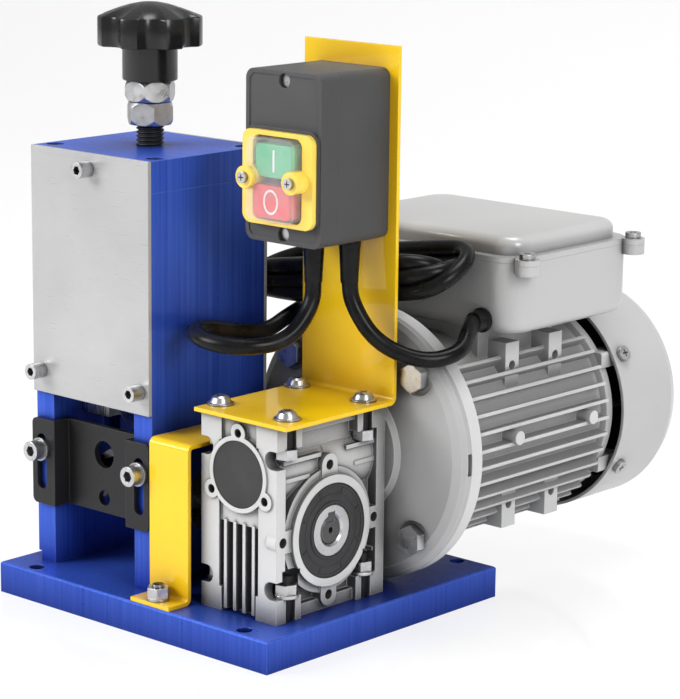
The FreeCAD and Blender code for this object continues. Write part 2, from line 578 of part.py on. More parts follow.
# Round blade on a carrier that slides in the side plates' grooves
def make_blade_carrier():
    left, right = INSIDE_LEFT + " + slide_gap", INSIDE_RIGHT + " - slide_gap"
    front, back = "(drive_y - carrier_depth / 2)", "(drive_y + carrier_depth / 2)"
    rib = ("drive_y - groove_width / 2 + slide_gap", "drive_y + groove_width / 2 - slide_gap")
    solid = fuse([block((left, right), (front, back), ("carrier_bottom", CARRIER_TOP)),
                  block((INSIDE_LEFT + " - groove_depth + slide_gap",
                         INSIDE_RIGHT + " + groove_depth - slide_gap"), rib,
                        ("carrier_bottom", CARRIER_TOP))])
    middle = ("drive_y", "blade_z")
    half_slot = "carrier_slot_width / 2"
    pocket = "(carrier_slot_width / 2 + blade_bearing_width)"
    tools = [
        block(("tower_x - " + half_slot, "tower_x + " + half_slot), (front + " - 1", back + " + 1"),
              ("carrier_bottom - 1", "carrier_bottom + carrier_slot_height")),
        rod("X", "blade_bearing_dia / 2 + running_gap", ("tower_x - " + pocket, "tower_x + " + pocket), middle),
        rod("X", "blade_shaft_dia / 2 + 1", ("tower_x - blade_shaft_length / 2 - 1",
                                             "tower_x + blade_shaft_length / 2 + 1"), middle),
        rod("Z", "collar_dia / 2 + slide_gap", (CARRIER_TOP + " - collar_pocket", CARRIER_TOP + " + 1"),
            ("tower_x", "drive_y"))]
    cap_screws = [("tower_x + %d * (cap_length / 2 - cap_screw_inset)" % side,
                   "drive_y + %d * (cap_width / 2 - cap_screw_inset)" % end)
                  for side in (-1, 1) for end in (-1, 1)]
    for place in cap_screws:
        tools.append(hole("Z", "cap_screw_dia", (CARRIER_TOP + " - cap_thread_depth", CARRIER_TOP + " + 1"),
                          place))
    node("blade_carrier", cut(solid, tools))
    cap = block(("tower_x - cap_length / 2", "tower_x + cap_length / 2"),
                ("drive_y - cap_width / 2", "drive_y + cap_width / 2"),
                (CARRIER_TOP, CARRIER_TOP + " + cap_thick"))
    drills = [rod("Z", "screw_dia / 2 + slide_gap", (CARRIER_TOP + " - 1", CARRIER_TOP + " + cap_thick + 1"),
                  ("tower_x", "drive_y"))]
    drills += [hole("Z", "cap_screw_dia", (CARRIER_TOP + " - 1", CARRIER_TOP + " + cap_thick + 1"), place)
               for place in cap_screws]
    screws = [cap_screw("Z", 1, "(%s + cap_thick)" % CARRIER_TOP, place, "cap_screw_dia",
                        "cap_screw_length", "cap_screw_dia * 1.75", "cap_screw_dia", "cap_key_size")
              for place in cap_screws]
    node("carrier_cap", group([cut(cap, drills)] + screws))


def make_blade():
    bore = "blade_shaft_dia / 2 + running_gap"
    half = "blade_thick / 2"
    disc = turned("X", "tower_x", "drive_y", "blade_z", [
        (bore, "-" + half), ("blade_radius - blade_bevel", "-" + half), ("blade_radius", "-blade_edge / 2"),
        ("blade_radius", "blade_edge / 2"), ("blade_radius - blade_bevel", half), (bore, half)])
    node("blade", disc)
    shaft = rod("X", "blade_shaft_dia / 2", ("tower_x - blade_shaft_length / 2",
                                             "tower_x + blade_shaft_length / 2"), ("drive_y", "blade_z"))
    inner, outer = "blade_thick / 2", "carrier_slot_width / 2 - 0.2"
    collars = [ring("X", bore, "blade_collar_dia / 2", run, ("drive_y", "blade_z"))
               for run in (("tower_x + " + inner, "tower_x + " + outer),
                           ("tower_x - (%s)" % outer, "tower_x - " + inner))]
    node("blade_shaft", group([shaft] + collars))
    near, far = "carrier_slot_width / 2", "(carrier_slot_width / 2 + blade_bearing_width)"
    bearings = [ring("X", bore, "blade_bearing_dia / 2", run, ("drive_y", "blade_z"))
                for run in (("tower_x + " + near, "tower_x + " + far),
                            ("tower_x - " + far, "tower_x - " + near))]
    node("blade_bearings", group(bearings))


# Adjusting screw with its collar in the carrier, two nuts and the star knob
def make_adjuster():
    collar_bottom = "(%s - collar_pocket + (collar_pocket - collar_thick) / 2)" % CARRIER_TOP
    node("adjusting_screw", turned("Z", "tower_x", "drive_y", "0", [
        ("0", collar_bottom), ("collar_dia / 2", collar_bottom),
        ("collar_dia / 2", collar_bottom + " + collar_thick"),
        ("screw_dia / 2", collar_bottom + " + collar_thick"), ("screw_dia / 2", SCREW_TOP + " - 1"),
        ("screw_dia / 2 - 1", SCREW_TOP), ("0", SCREW_TOP)]))
    for label, low, height, flats, turn in (
            ("lock_nut", LOCK_NUT_LOW, "lock_nut_height", "lock_nut_flats", 25),
            ("knob_nut", KNOB_NUT_LOW, "knob_nut_height", "knob_nut_flats", 3)):
        run = (low, "%s + %s" % (low, height))
        prism = hexagon("Z", flats, run, ("tower_x", "drive_y"), turn)
        corner = "((%s) / 1.7320508)" % flats
        blank = turned("Z", "tower_x", "drive_y", low, [
            ("0", "0"), ("(%s) / 2" % flats, "0"), (corner, "(%s) / 8" % flats),
            (corner, "%s - (%s) / 8" % (height, flats)), ("(%s) / 2" % flats, height), ("0", height)])
        both = doc.addObject("Part::Common", "chamfered")
        both.Base = prism
        both.Tool = blank
        node(label, cut(both, [hole("Z", "screw_dia", (low + " - 1", "%s + %s + 1" % (low, height)),
                                    ("tower_x", "drive_y"))]))
    bottom = "(%s + knob_nut_height)" % KNOB_NUT_LOW
    star_low = "(%s + hub_height)" % bottom
    star_high = "(%s + star_height)" % star_low
    blank = turned("Z", "tower_x", "drive_y", "0", [
        ("screw_dia / 2 + running_gap", bottom), ("hub_dia / 2 - 0.6", bottom), ("hub_dia / 2", bottom + " + 1"),
        ("hub_dia / 2 - 0.7", star_low), ("star_dia / 2 - 1", star_low + " + 0.4"),
        ("star_dia / 2", star_low + " + 1.4"), ("star_dia / 2", star_high + " - 1"),
        ("star_dia / 2 - 1.4", star_high), ("star_dia / 2 * 0.72", star_high + " + dome_height * 0.5"),
        ("star_dia / 2 * 0.4", star_high + " + dome_height * 0.86"),
        ("0", star_high + " + dome_height"), ("0", SCREW_TOP + " + running_gap"),
        ("screw_dia / 2 + running_gap", SCREW_TOP + " + running_gap")])
    valleys = []
    count = int(size("knob_lobes"))
    for index in range(count):
        angle = "(knob_turn + %d * 360 / knob_lobes)" % index
        reach = "(star_dia / 2 + valley_radius - valley_depth)"
        valleys.append(rod("Z", "valley_radius", (star_low + " - 0.5", star_high + " + dome_height + 1"),
                           ("tower_x + %s * cos(%s)" % (reach, angle),
                            "drive_y + %s * sin(%s)" % (reach, angle))))
    node("knob", cut(blank, valleys))


# Drive shaft, its bearings and the toothed feed roller
def make_drive_line():
    reach_left = "(%s + bearing_inset)" % TOWER_LEFT
    roller_left, roller_right = "(tower_x - roller_width / 2)", "(tower_x + roller_width / 2)"
    end = "(gear_x + hollow_half - 0.5)"
    step = "(gear_x - hollow_half - 0.6)"
    thin, full, wide = "(hollow_bore / 2 - running_gap)", "drive_shaft_dia / 2", "shoulder_dia / 2"
    lip_left = "(%s + 0.6)" % INSIDE_LEFT
    lip_right = "(%s - 0.6)" % INSIDE_RIGHT
    shaft = turned("X", "0", "drive_y", DRIVE_Z, [
        ("0", reach_left), (full, reach_left), (full, lip_left), (wide, lip_left),
        (wide, roller_left + " - 0.2"), (full, roller_left + " - 0.2"), (full, roller_right + " + 0.2"),
        (wide, roller_right + " + 0.2"), (wide, lip_right), (full, lip_right), (full, step),
        (thin, step), (thin, end + " - 0.8"), (thin + " - 0.8", end), ("0", end)])
    key_low, key_high = DRIVE_Z + " + hollow_bore / 2 - key_size * 0.6", DRIVE_Z + " + hollow_bore / 2 + key_size * 0.4"
    key_run = ("gear_x - hollow_half + 4", end + " - 0.5")
    key_sides = ("drive_y - key_size / 2", "drive_y + key_size / 2")
    centre_drill = rod("X", "1.6", (end + " - 6", end + " + 1"), ("drive_y", DRIVE_Z))
    seat = block((key_run[0] + " - 0.05", end + " + 1"),
                 ("drive_y - key_size / 2 - running_gap", "drive_y + key_size / 2 + running_gap"),
                 (key_low + " - running_gap", key_high + " + 2"))
    node("drive_shaft", group([cut(shaft, [seat, centre_drill]),
                               block(key_run, key_sides, (key_low, key_high))]))
    teeth = []
    count = int(size("roller_teeth"))
    for index in range(count):
        angle = "(%d * 360 / roller_teeth)" % index
        groove = doc.addObject("Part::Prism", "groove")
        groove.Polygon = 3
        bind(groove, Circumradius="tooth_depth * 1.4", Height="roller_width + 2")
        put(groove, roller_left + " - 1", "drive_y + (roller_radius + tooth_depth * 0.35) * cos(%s)" % angle,
            DRIVE_Z + " + (roller_radius + tooth_depth * 0.35) * sin(%s)" % angle,
            Rotation(Vector(1, 0, 0), index * 360.0 / count) * ALONG["X"] * Rotation(Vector(0, 0, 1), -90))
        teeth.append(groove)
    blank = ring("X", "drive_shaft_dia / 2 + running_gap", "roller_radius", (roller_left, roller_right),
                 ("drive_y", DRIVE_Z))
    node("feed_roller", cut(blank, teeth))
    bore = "drive_shaft_dia / 2 + running_gap"
    bearings = [ring("X", bore, "drive_bearing_dia / 2", run, ("drive_y", DRIVE_Z)) for run in (
        (TOWER_LEFT + " + bearing_inset", TOWER_LEFT + " + bearing_inset + drive_bearing_width"),
        (TOWER_RIGHT + " - bearing_inset - drive_bearing_width", TOWER_RIGHT + " - bearing_inset"))]
    near, far = "(chamber_half + 0.5)", "(chamber_half + 0.5 + output_bearing_width)"
    for run in (("gear_x + " + near, "gear_x + " + far), ("gear_x - " + far, "gear_x - " + near)):
        bearings.append(ring("X", "hollow_dia / 2 + running_gap", "output_bearing_dia / 2", run,
                             ("drive_y", DRIVE_Z)))
    node("shaft_bearings", group(bearings))


# Guard that covers the shaft between the tower and the gearbox
def make_shaft_guard():
    t = "guard_thick"
    floor, top = "base_thick", "guard_top"
    front, back = "guard_front", "guard_back"
    outer = [(front, top), (back, top)]
    feet_outer = [(front + " + guard_thick", floor), (back + " - guard_thick", floor)]
    points = [
        ("guard_foot_front", floor), (front + " + " + t, floor), (front + " + " + t, top + " - " + t),
        (back + " - " + t, top + " - " + t), (back + " - " + t, floor), ("guard_foot_back", floor),
        ("guard_foot_back", floor + " + " + t), (back, floor + " + " + t), (back, top), (front, top),
        (front, floor + " + " + t), ("guard_foot_front", floor + " + " + t)]
    inner = [(front + " + " + t, top + " - " + t), (back + " - " + t, top + " - " + t),
             (front, floor + " + " + t), (back, floor + " + " + t)]
    bent = strip(points, ("guard_left", "guard_left + guard_width"), "guard_bend",
                 (outer + feet_outer, inner))
    drills = [rod("Z", "guard_bolt_dia / 2 + 0.3", (floor + " - 1", floor + " + guard_thick + 1"), place)
              for place in guard_bolt_places()]
    node("shaft_guard", cut(bent, drills))


def stud_and_nut(place, seat, top, dia, flats, height, washer_dia, washer_thick):
    """A stud out of the base, with a washer and a nut down on a seat."""
    stud = rod("Z", "(%s) / 2" % dia, ("base_thick / 2 + 0.2", top), place)
    washer = ring("Z", "(%s) / 2 + running_gap" % dia, "(%s) / 2" % washer_dia,
                  (seat, "%s + %s" % (seat, washer_thick)), place)
    nut_low = "%s + %s" % (seat, washer_thick)
    nut = cut(hexagon("Z", flats, (nut_low, "%s + %s" % (nut_low, height)), place, 10),
              [hole("Z", dia, (nut_low + " - 1", "%s + %s + 1" % (nut_low, height)), place)])
    return [stud, washer, nut]


def make_base_studs():
    pieces = []
    for place in gearbox_stud_places():
        pieces += stud_and_nut(place, "base_thick + foot_height", "base_thick + foot_height + 10.5",
                               "stud_dia", "nut_flats", "nut_height", "washer_dia", "washer_thick")
    for place in guard_bolt_places():
        pieces += stud_and_nut(place, "base_thick + guard_thick", "base_thick + guard_thick + 8",
                               "guard_bolt_dia", "guard_nut_flats", "guard_nut_height",
                               "guard_washer_dia", "washer_thick")
    node("base_studs", group(pieces))


# Worm gearbox: a cast housing, its side cover, hollow shaft, bearings, seals and cap
def make_housing():
    left, right = "(gear_x - gear_width / 2)", "(gear_x + gear_width / 2)"
    core_left, core_right = "(gear_x - core_width / 2)", "(gear_x + core_width / 2)"
    frame_back = "(%s + frame_thick)" % GEAR_FRONT
    rear_front = "(%s - frame_thick)" % GEAR_BACK
    inner_left, inner_right = "(%s + pillar_width)" % left, "(%s - pillar_width)" % right
    floor, roof = "base_thick", GEAR_TOP
    solids = [
        block((core_left, core_right), (frame_back + " - 1", rear_front + " + 1"), (floor + " + 3", roof + " - 3")),
        block((left, right), (rear_front, GEAR_BACK), (floor, roof)),
        block((left, inner_left), (GEAR_FRONT, frame_back), (floor, roof)),
        block((inner_right, right), (GEAR_FRONT, frame_back), (floor, roof)),
        block((inner_left + " - 1", inner_right + " + 1"), (GEAR_FRONT + " + 1.5", frame_back), ("fin_top", roof)),
        block((left + " + 2.5", right + " - 2.5"), (frame_back, rear_front), (floor, floor + " + 6")),
        block((left + " + 2.5", right + " - 2.5"), (frame_back, rear_front), (roof + " - 6", roof)),
        rod("X", "boss_dia / 2", (left + " + 2", right + " - 1"), ("drive_y", DRIVE_Z)),
        rod("X", "spigot_dia / 2", ("gear_x", "gear_x + spigot_reach"), ("drive_y", DRIVE_Z)),
        rod("Y", "cap_ring_dia / 2", (GEAR_FRONT + " - 0.8", frame_back + " + 6"), ("gear_x", WORM_Z)),
        rod("Y", "cap_ring_dia / 2 + 3", (frame_back + " - 1", "drive_y"), ("gear_x", WORM_Z)),
        rod("Y", "rear_bearing_dia / 2 + 5", ("drive_y", GEAR_BACK), ("gear_x", WORM_Z))]
    for side in (-1, 1):
        edge = "(gear_x + %d * gear_width / 2)" % side
        inner = "(gear_x + %d * (gear_width / 2 - pillar_width - 1.5))" % side
        run = (inner, edge) if side > 0 else (edge, inner)
        for end in (-1, 1):
            mid = "(drive_y + %d * foot_span_y / 2)" % end
            span = (GEAR_FRONT, mid + " + foot_half_y") if end < 0 else (mid + " - foot_half_y", GEAR_BACK)
            solids.append(block(run, span, (floor, floor + " + foot_height")))
            solids.append(block(run, span, (roof + " - foot_height", roof)))
        # ribs that stiffen the recessed side wall
        reach = "(gear_x + %d * (gear_width / 2 - 2))" % side
        mid_wall = "(gear_x + %d * core_width / 2)" % side
        rib = (mid_wall, reach) if side > 0 else (reach, mid_wall)
        for low, start, stop in (("84", frame_back, "drive_y - 12"), ("93", frame_back, "drive_y - 4"),
                                 ("93", "drive_y + 14", rear_front), ("84", "drive_y + 20", rear_front),
                                 ("38", frame_back, "drive_y - 26"), ("38", "drive_y + 26", rear_front)):
            solids.append(block(rib, (start, stop), (low, low + " + 2")))
    for angle in (90, 210, 330):
        across = ("gear_x + cap_lug_circle / 2 * cos(%d)" % angle, WORM_Z + " + cap_lug_circle / 2 * sin(%d)" % angle)
        solids.append(rod("Y", "cap_lug_radius", (GEAR_FRONT + " - 0.8", frame_back), across))
    for index in range(4):
        angle = index * 90
        solids.append(lug_tab(angle))
    count = int(size("cooling_fins"))
    for index in range(count):
        middle = "(gear_x + (%d - (cooling_fins - 1) / 2) * fin_pitch)" % index
        solids.append(block((middle + " - fin_thick / 2", middle + " + fin_thick / 2"),
                            (GEAR_FRONT + " + 0.5", frame_back + " + 1"), (floor + " + 1.5", "fin_top + 1")))
    tools = [
        rod("X", "chamber_radius", ("gear_x - chamber_half", "gear_x + chamber_half"), ("drive_y", DRIVE_Z)),
        rod("X", "output_bearing_dia / 2 + running_gap", ("gear_x", "gear_x + spigot_reach + 1"),
            ("drive_y", DRIVE_Z)),
        rod("X", "output_bearing_dia / 2 + 2.5", (left + " - 1", "gear_x"), ("drive_y", DRIVE_Z)),
        rod("Y", "worm_chamber_radius", (worm_front(), worm_rear()), ("gear_x", WORM_Z)),
        rod("Y", "front_bearing_dia / 2 + running_gap", (GEAR_FRONT + " - 2", worm_front() + " + 0.1"),
            ("gear_x", WORM_Z)),
        rod("Y", "end_cap_dia / 2 + running_gap", (GEAR_FRONT + " - 2", GEAR_FRONT + " + end_cap_thick - 0.8"),
            ("gear_x", WORM_Z)),
        rod("Y", "rear_bearing_dia / 2 + running_gap", (worm_rear() + " - 0.1", GEAR_BACK + " + 1"),
            ("gear_x", WORM_Z))]
    for angle in (90, 210, 330):
        across = ("gear_x + cap_lug_circle / 2 * cos(%d)" % angle, WORM_Z + " + cap_lug_circle / 2 * sin(%d)" % angle)
        tools.append(rod("Y", "cap_lug_hole / 2", (GEAR_FRONT + " - 2", frame_back + " + 1"), across))
    for index in range(4):
        across = lug_place(index * 90)
        tools.append(rod("X", "lug_hole_dia / 2", (right + " - lug_hole_depth", right + " + 2"), across))
    for side in (-1, 1):
        for end in (-1, 1):
            x, y = "(gear_x + %d * foot_span_x / 2)" % side, "(drive_y + %d * foot_span_y / 2)" % end
            out = "(gear_x + %d * (gear_width / 2 + 1))" % side
            run = (x, out) if side > 0 else (out, x)
            tools.append(rod("Z", "nut_pocket_radius",
                             (floor + " + foot_height", floor + " + foot_height + nut_pocket_height"), (x, y)))
            tools.append(rod("Z", "nut_pocket_radius - 0.6",
                             (roof + " - foot_height - nut_height - 0.4", roof + " - foot_height"), (x, y)))
            for low, high in ((floor + " - 1", floor + " + foot_height + 1"),
                              (roof + " - foot_height - 1", roof + " + 1")):
                tools.append(rod("Z", "slot_width / 2", (low, high), (x, y)))
                tools.append(block(run, (y + " - slot_width / 2", y + " + slot_width / 2"), (low, high)))
        # notches in the front pillars, open to the sides, above and below the feet
        round_x = "(gear_x + %d * (gear_width / 2 - notch_depth + notch_height / 2))" % side
        out = "(gear_x + %d * (gear_width / 2 + 1))" % side
        run = (round_x, out) if side > 0 else (out, round_x)
        for middle in (floor + " + foot_height + notch_height / 2", roof + " - foot_height - notch_height / 2"):
            tools.append(rod("Y", "notch_height / 2", (GEAR_FRONT + " - 1", frame_back + " + 1"), (round_x, middle)))
            tools.append(block(run, (GEAR_FRONT + " - 1", frame_back + " + 1"),
                               (middle + " - notch_height / 2", middle + " + notch_height / 2")))
    node("gearbox_housing", cut(fuse(solids), tools))


def worm_front():
    """Inner face of the worm's front bearing."""
    return "(%s + end_cap_thick + front_bearing_width)" % GEAR_FRONT


def worm_rear():
    """Inner face of the worm's rear bearing."""
    return "(%s - rear_bearing_width)" % GEAR_BACK


def lug_place(angle):
    return ("drive_y + lug_circle / 2 * cos(%d)" % angle, DRIVE_Z + " + lug_circle / 2 * sin(%d)" % angle)


def lug_tab(angle):
    """A tab with a rounded end that carries one of the four face holes."""
    right = "(gear_x + gear_width / 2)"
    run = (right + " - lug_thick", right)
    y, z = lug_place(angle)
    end = rod("X", "lug_width / 2", run, (y, z))
    half = "lug_width / 2"
    if angle % 180 == 0:
        low, high = (("drive_y", y) if angle == 0 else (y, "drive_y"))
        web = block(run, (low, high), (z + " - " + half, z + " + " + half))
    else:
        low, high = ((DRIVE_Z, z) if angle == 90 else (z, DRIVE_Z))
        web = block(run, (y + " - " + half, y + " + " + half), (low, high))
    return fuse([end, web])


def make_gearbox_inside():
    sleeve = "output_bearing_dia / 2 + 2.5 - running_gap"
    bore = "output_bearing_dia / 2 + running_gap"
    cover_face = "(gear_x - gear_width / 2 + 2)"
    cover = turned("X", "0", "drive_y", DRIVE_Z, [
        (bore, "gear_x - spigot_reach"), ("spigot_dia / 2", "gear_x - spigot_reach"),
        ("spigot_dia / 2", cover_face + " - 3"), ("boss_dia / 2 - 1", cover_face + " - 3"),
        ("boss_dia / 2 - 1", cover_face), (sleeve, cover_face), (sleeve, "gear_x - chamber_half - 0.5"),
        (bore, "gear_x - chamber_half - 0.5")])
    node("gearbox_side_cover", cover)
    node("hollow_shaft", cut(
        ring("X", "hollow_bore / 2", "hollow_dia / 2", ("gear_x - hollow_half", "gear_x + hollow_half"),
             ("drive_y", DRIVE_Z)),
        [block(("gear_x - hollow_half - 1", "gear_x + hollow_half + 1"),
               ("drive_y - key_size / 2 - running_gap", "drive_y + key_size / 2 + running_gap"),
               (DRIVE_Z, DRIVE_Z + " + hollow_bore / 2 + key_size * 0.45")),
         turned("X", "0", "drive_y", DRIVE_Z, [
             ("hollow_bore / 2 - 1", "gear_x + hollow_half - 1"), ("hollow_bore / 2", "gear_x + hollow_half - 1"),
             ("hollow_bore / 2 + 1.5", "gear_x + hollow_half + 0.5"),
             ("hollow_bore / 2 - 1", "gear_x + hollow_half + 0.5")])]))
    far = "(chamber_half + 0.5 + output_bearing_width)"
    lip = "hollow_dia / 2 + running_gap"
    seals = []
    for sign in (1, -1):
        ends = ["gear_x + %d * %s" % (sign, far), "gear_x + %d * (%s + seal_width)" % (sign, far)]
        if sign < 0:
            ends.reverse()
        seals.append(ring("X", lip, "output_bearing_dia / 2", ends, ("drive_y", DRIVE_Z)))
    node("output_seals", group(seals))
    node("worm_end_cap", rod("Y", "end_cap_dia / 2", (GEAR_FRONT + " - 0.4", GEAR_FRONT + " + end_cap_thick - 0.8"),
                             ("gear_x", WORM_Z)))
    bearings = [
        ring("Y", "worm_journal / 2 + running_gap", "front_bearing_dia / 2",
             (GEAR_FRONT + " + end_cap_thick - 0.1", worm_front()), ("gear_x", WORM_Z)),
        ring("Y", "worm_rear_journal / 2 + running_gap", "rear_bearing_dia / 2",
             (worm_rear(), GEAR_BACK + " - 0.1"), ("gear_x", WORM_Z)),
        ring("Y", "rotor_dia / 2 + running_gap", "motor_bearing_dia / 2",
             ("frame_front", "frame_front + motor_bearing_width"), ("gear_x", WORM_Z)),
        ring("Y", "rotor_dia / 2 + running_gap", "motor_bearing_dia / 2",
             ("frame_back - motor_bearing_width", "frame_back"), ("gear_x", WORM_Z))]
    node("rotor_bearings", group(bearings))


# Worm and worm wheel, cut to one module and one lead
def make_worm_wheel():
    """A helical wheel whose straight-sided teeth leave the mesh slack to the worm's thread."""
    module, teeth, width = size("gear_module"), int(size("wheel_teeth")), size("wheel_width")
    pitch_radius = module * teeth / 2
    tip, root = pitch_radius + module, pitch_radius - 1.25 * module
    lead_angle = math.atan(module / size("worm_pitch_dia"))
    twist = math.degrees(math.tan(lead_angle) * width / 2 / pitch_radius)
    half_angle = (math.pi * module - size("mesh_slack")) / 2 / pitch_radius / 2
    slope = math.tan(math.radians(20)) / pitch_radius

    def tooth_side(radius, sign, turn):
        angle = sign * (half_angle + (pitch_radius - radius) * slope) + turn
        return Vector(radius * math.sin(angle), radius * math.cos(angle), 0)

    points = []
    for index in range(teeth):
        turn = index * 2 * math.pi / teeth
        points += [tooth_side(root, -1, turn), tooth_side(tip, -1, turn), tooth_side(tip, 1, turn),
                   tooth_side(root, 1, turn)]
    ring_wire = Part.makePolygon(points + [points[0]])

    def section(along, turn):
        wire = ring_wire.copy()
        wire.rotate(Vector(0, 0, 0), Vector(0, 0, 1), turn)
        wire.translate(Vector(0, 0, along))
        return wire

    toothed = Part.makeLoft([section(-width / 2, -twist), section(width / 2, twist)], True, True)
    bore = Part.makeCylinder(size("hollow_dia") / 2, width + 2, Vector(0, 0, -width / 2 - 1))
    shape = toothed.cut(bore)
    wheel = doc.addObject("Part::Feature", "wheel")
    wheel.Shape = shape
    node("worm_wheel", put(wheel, "gear_x", "drive_y", DRIVE_Z, ALONG["X"]))


def make_worm():
    """A right-hand thread round the worm's core, with a journal at each end."""
    module = size("gear_module")
    pitch, turns = math.pi * module, size("worm_turns")
    pitch_radius = size("worm_pitch_dia") / 2
    root, tip = pitch_radius - 1.25 * module, pitch_radius + module
    slope = math.tan(math.radians(20))
    half = (pitch - size("mesh_slack")) / 4
    low, high = half + (pitch_radius - root + 0.4) * slope, half - module * slope
    start = -pitch * turns / 2
    helix = Part.makeHelix(pitch, pitch * turns, root)
    helix.translate(Vector(0, 0, start))
    corners = [Vector(root - 0.4, 0, start - low), Vector(tip, 0, start - high),
               Vector(tip, 0, start + high), Vector(root - 0.4, 0, start + low)]
    thread = Part.Wire(helix).makePipeShell([Part.makePolygon(corners + [corners[0]])], True, True)
    reach = pitch * turns / 2 + low + 0.5
    core = Part.makeCylinder(root, 2 * reach, Vector(0, 0, -reach))
    middle = reading("drive_y")
    front, back = reading(GEAR_FRONT + " + end_cap_thick + 0.4"), reading(GEAR_BACK + " + 6")
    journals = [Part.makeCylinder(size("worm_journal") / 2, middle - reach - front + 1,
                                  Vector(0, 0, front - middle)),
                Part.makeCylinder(size("worm_rear_journal") / 2, back - middle - reach + 1,
                                  Vector(0, 0, reach - 1))]
    shape = core.fuse([thread] + journals)
    bore_start = reading(worm_rear() + " - shaft_overlap") - middle
    shape = shape.cut(Part.makeCylinder(size("motor_shaft_dia") / 2 + size("running_gap"),
                                        back - middle - bore_start + 1, Vector(0, 0, bore_start)))
    worm = doc.addObject("Part::Feature", "worm")
    worm.Shape = shape
    node("worm", put(worm, "gear_x", "drive_y", WORM_Z, ALONG["Y"] * Rotation(Vector(0, 0, 1), 90)))


# Motor: bell flange, end shields, ribbed frame, stator, rotor, fan, cowl
def make_motor_flanges():
    neck = "bell_neck_radius"
    inside = "(bell_radius - bell_wall)"
    bell = turned("Y", "gear_x", "0", WORM_Z, [
        ("rear_bearing_dia / 2 - 2", GEAR_BACK), (neck, GEAR_BACK), (neck + " + 2", "bell_rim_front - 3.5"),
        ("bolt_circle / 2 - 16", "bell_rim_front - 3"), ("bolt_circle / 2 + 6", "bell_rim_front - 0.6"),
        ("bell_radius - 2", "bell_rim_front + 1.6"), ("bell_radius", "bell_rim_front + 4"),
        ("bell_radius", "joint_y"), (inside + " - 22", "joint_y"), (inside + " - 24", "bell_rim_front + 3"),
        ("rear_bearing_dia / 2 - 2", "bell_rim_front + 1")])
    bolts, drills = [], []
    for index in range(4):
        angle = 45 + index * 90
        across = ("gear_x + bolt_circle / 2 * cos(%d)" % angle, WORM_Z + " + bolt_circle / 2 * sin(%d)" % angle)
        drills.append(hole("Y", "bolt_dia", ("bell_rim_front - 8", "motor_flange_back + 1"), across))
        seat = "(bell_rim_front - 0.6)"
        drills.append(rod("Y", "bolt_flats * 0.72", (seat + " - 6", seat), across))
        bolts.append(fuse([hexagon("Y", "bolt_flats", (seat + " - bolt_head", seat), across, 30),
                           rod("Y", "bolt_dia / 2", (seat, "motor_flange_back + 1"), across)]))
    notch = block(("gear_x + bell_radius - 3", "gear_x + bell_radius + 1"), ("joint_y - 3", "joint_y + 1"),
                  (WORM_Z + " - 5", WORM_Z + " + 6"))
    node("input_flange", cut(bell, drills + [notch]))
    node("flange_bolts", group(bolts))
    shaft_bore = "rotor_dia / 2 + 1.5"
    housing_bore = "motor_bearing_dia / 2 + running_gap"
    front_shield = turned("Y", "gear_x", "0", WORM_Z, [
        (shaft_bore, "joint_y"), ("bell_radius", "joint_y"), ("bell_radius", "motor_flange_back - 2"),
        ("bell_radius - 2", "motor_flange_back"), ("frame_radius + 2", "motor_flange_back"),
        ("frame_radius", "frame_front"), ("frame_radius - 12", "frame_front"),
        ("frame_radius - 14", "motor_flange_back"), ("motor_bearing_dia / 2 + 6", "motor_flange_back"),
        ("motor_bearing_dia / 2 + 5", "frame_front + motor_bearing_width"),
        (housing_bore, "frame_front + motor_bearing_width"), (housing_bore, "frame_front"),
        (shaft_bore, "frame_front")])
    rear_shield = turned("Y", "gear_x", "0", WORM_Z, [
        (housing_bore, "frame_back - motor_bearing_width"),
        ("motor_bearing_dia / 2 + 5", "frame_back - motor_bearing_width"),
        ("motor_bearing_dia / 2 + 6", "frame_back"), ("frame_radius", "frame_back"),
        ("frame_radius + 3", "frame_back + 1.5"), ("frame_radius + 3", "shield_back - 1"),
        ("frame_radius", "shield_back"), (shaft_bore, "shield_back"), (shaft_bore, "frame_back"),
        (housing_bore, "frame_back")])
    legs = [block(("gear_x + %d * leg_x - leg_half_x" % side, "gear_x + %d * leg_x + leg_half_x" % side),
                  ("frame_back + 1.5", "shield_back + leg_reach"),
                  (WORM_Z + " + %d * leg_z - leg_half_z" % end, WORM_Z + " + %d * leg_z + leg_half_z" % end))
            for side in (-1, 1) for end in (-1, 1)]
    trim = ring("Y", "cowl_radius - cowl_wall - 0.3", "cowl_radius + 9", ("frame_back", "shield_back + 16"),
                ("gear_x", WORM_Z))
    leg_drills = [radial_screw(angle)[1] for angle in COWL_SCREW_ANGLES]
    node("motor_end_shields", group([cut(front_shield, drills),
                                     cut(fuse([rear_shield] + legs), [trim] + leg_drills)]))


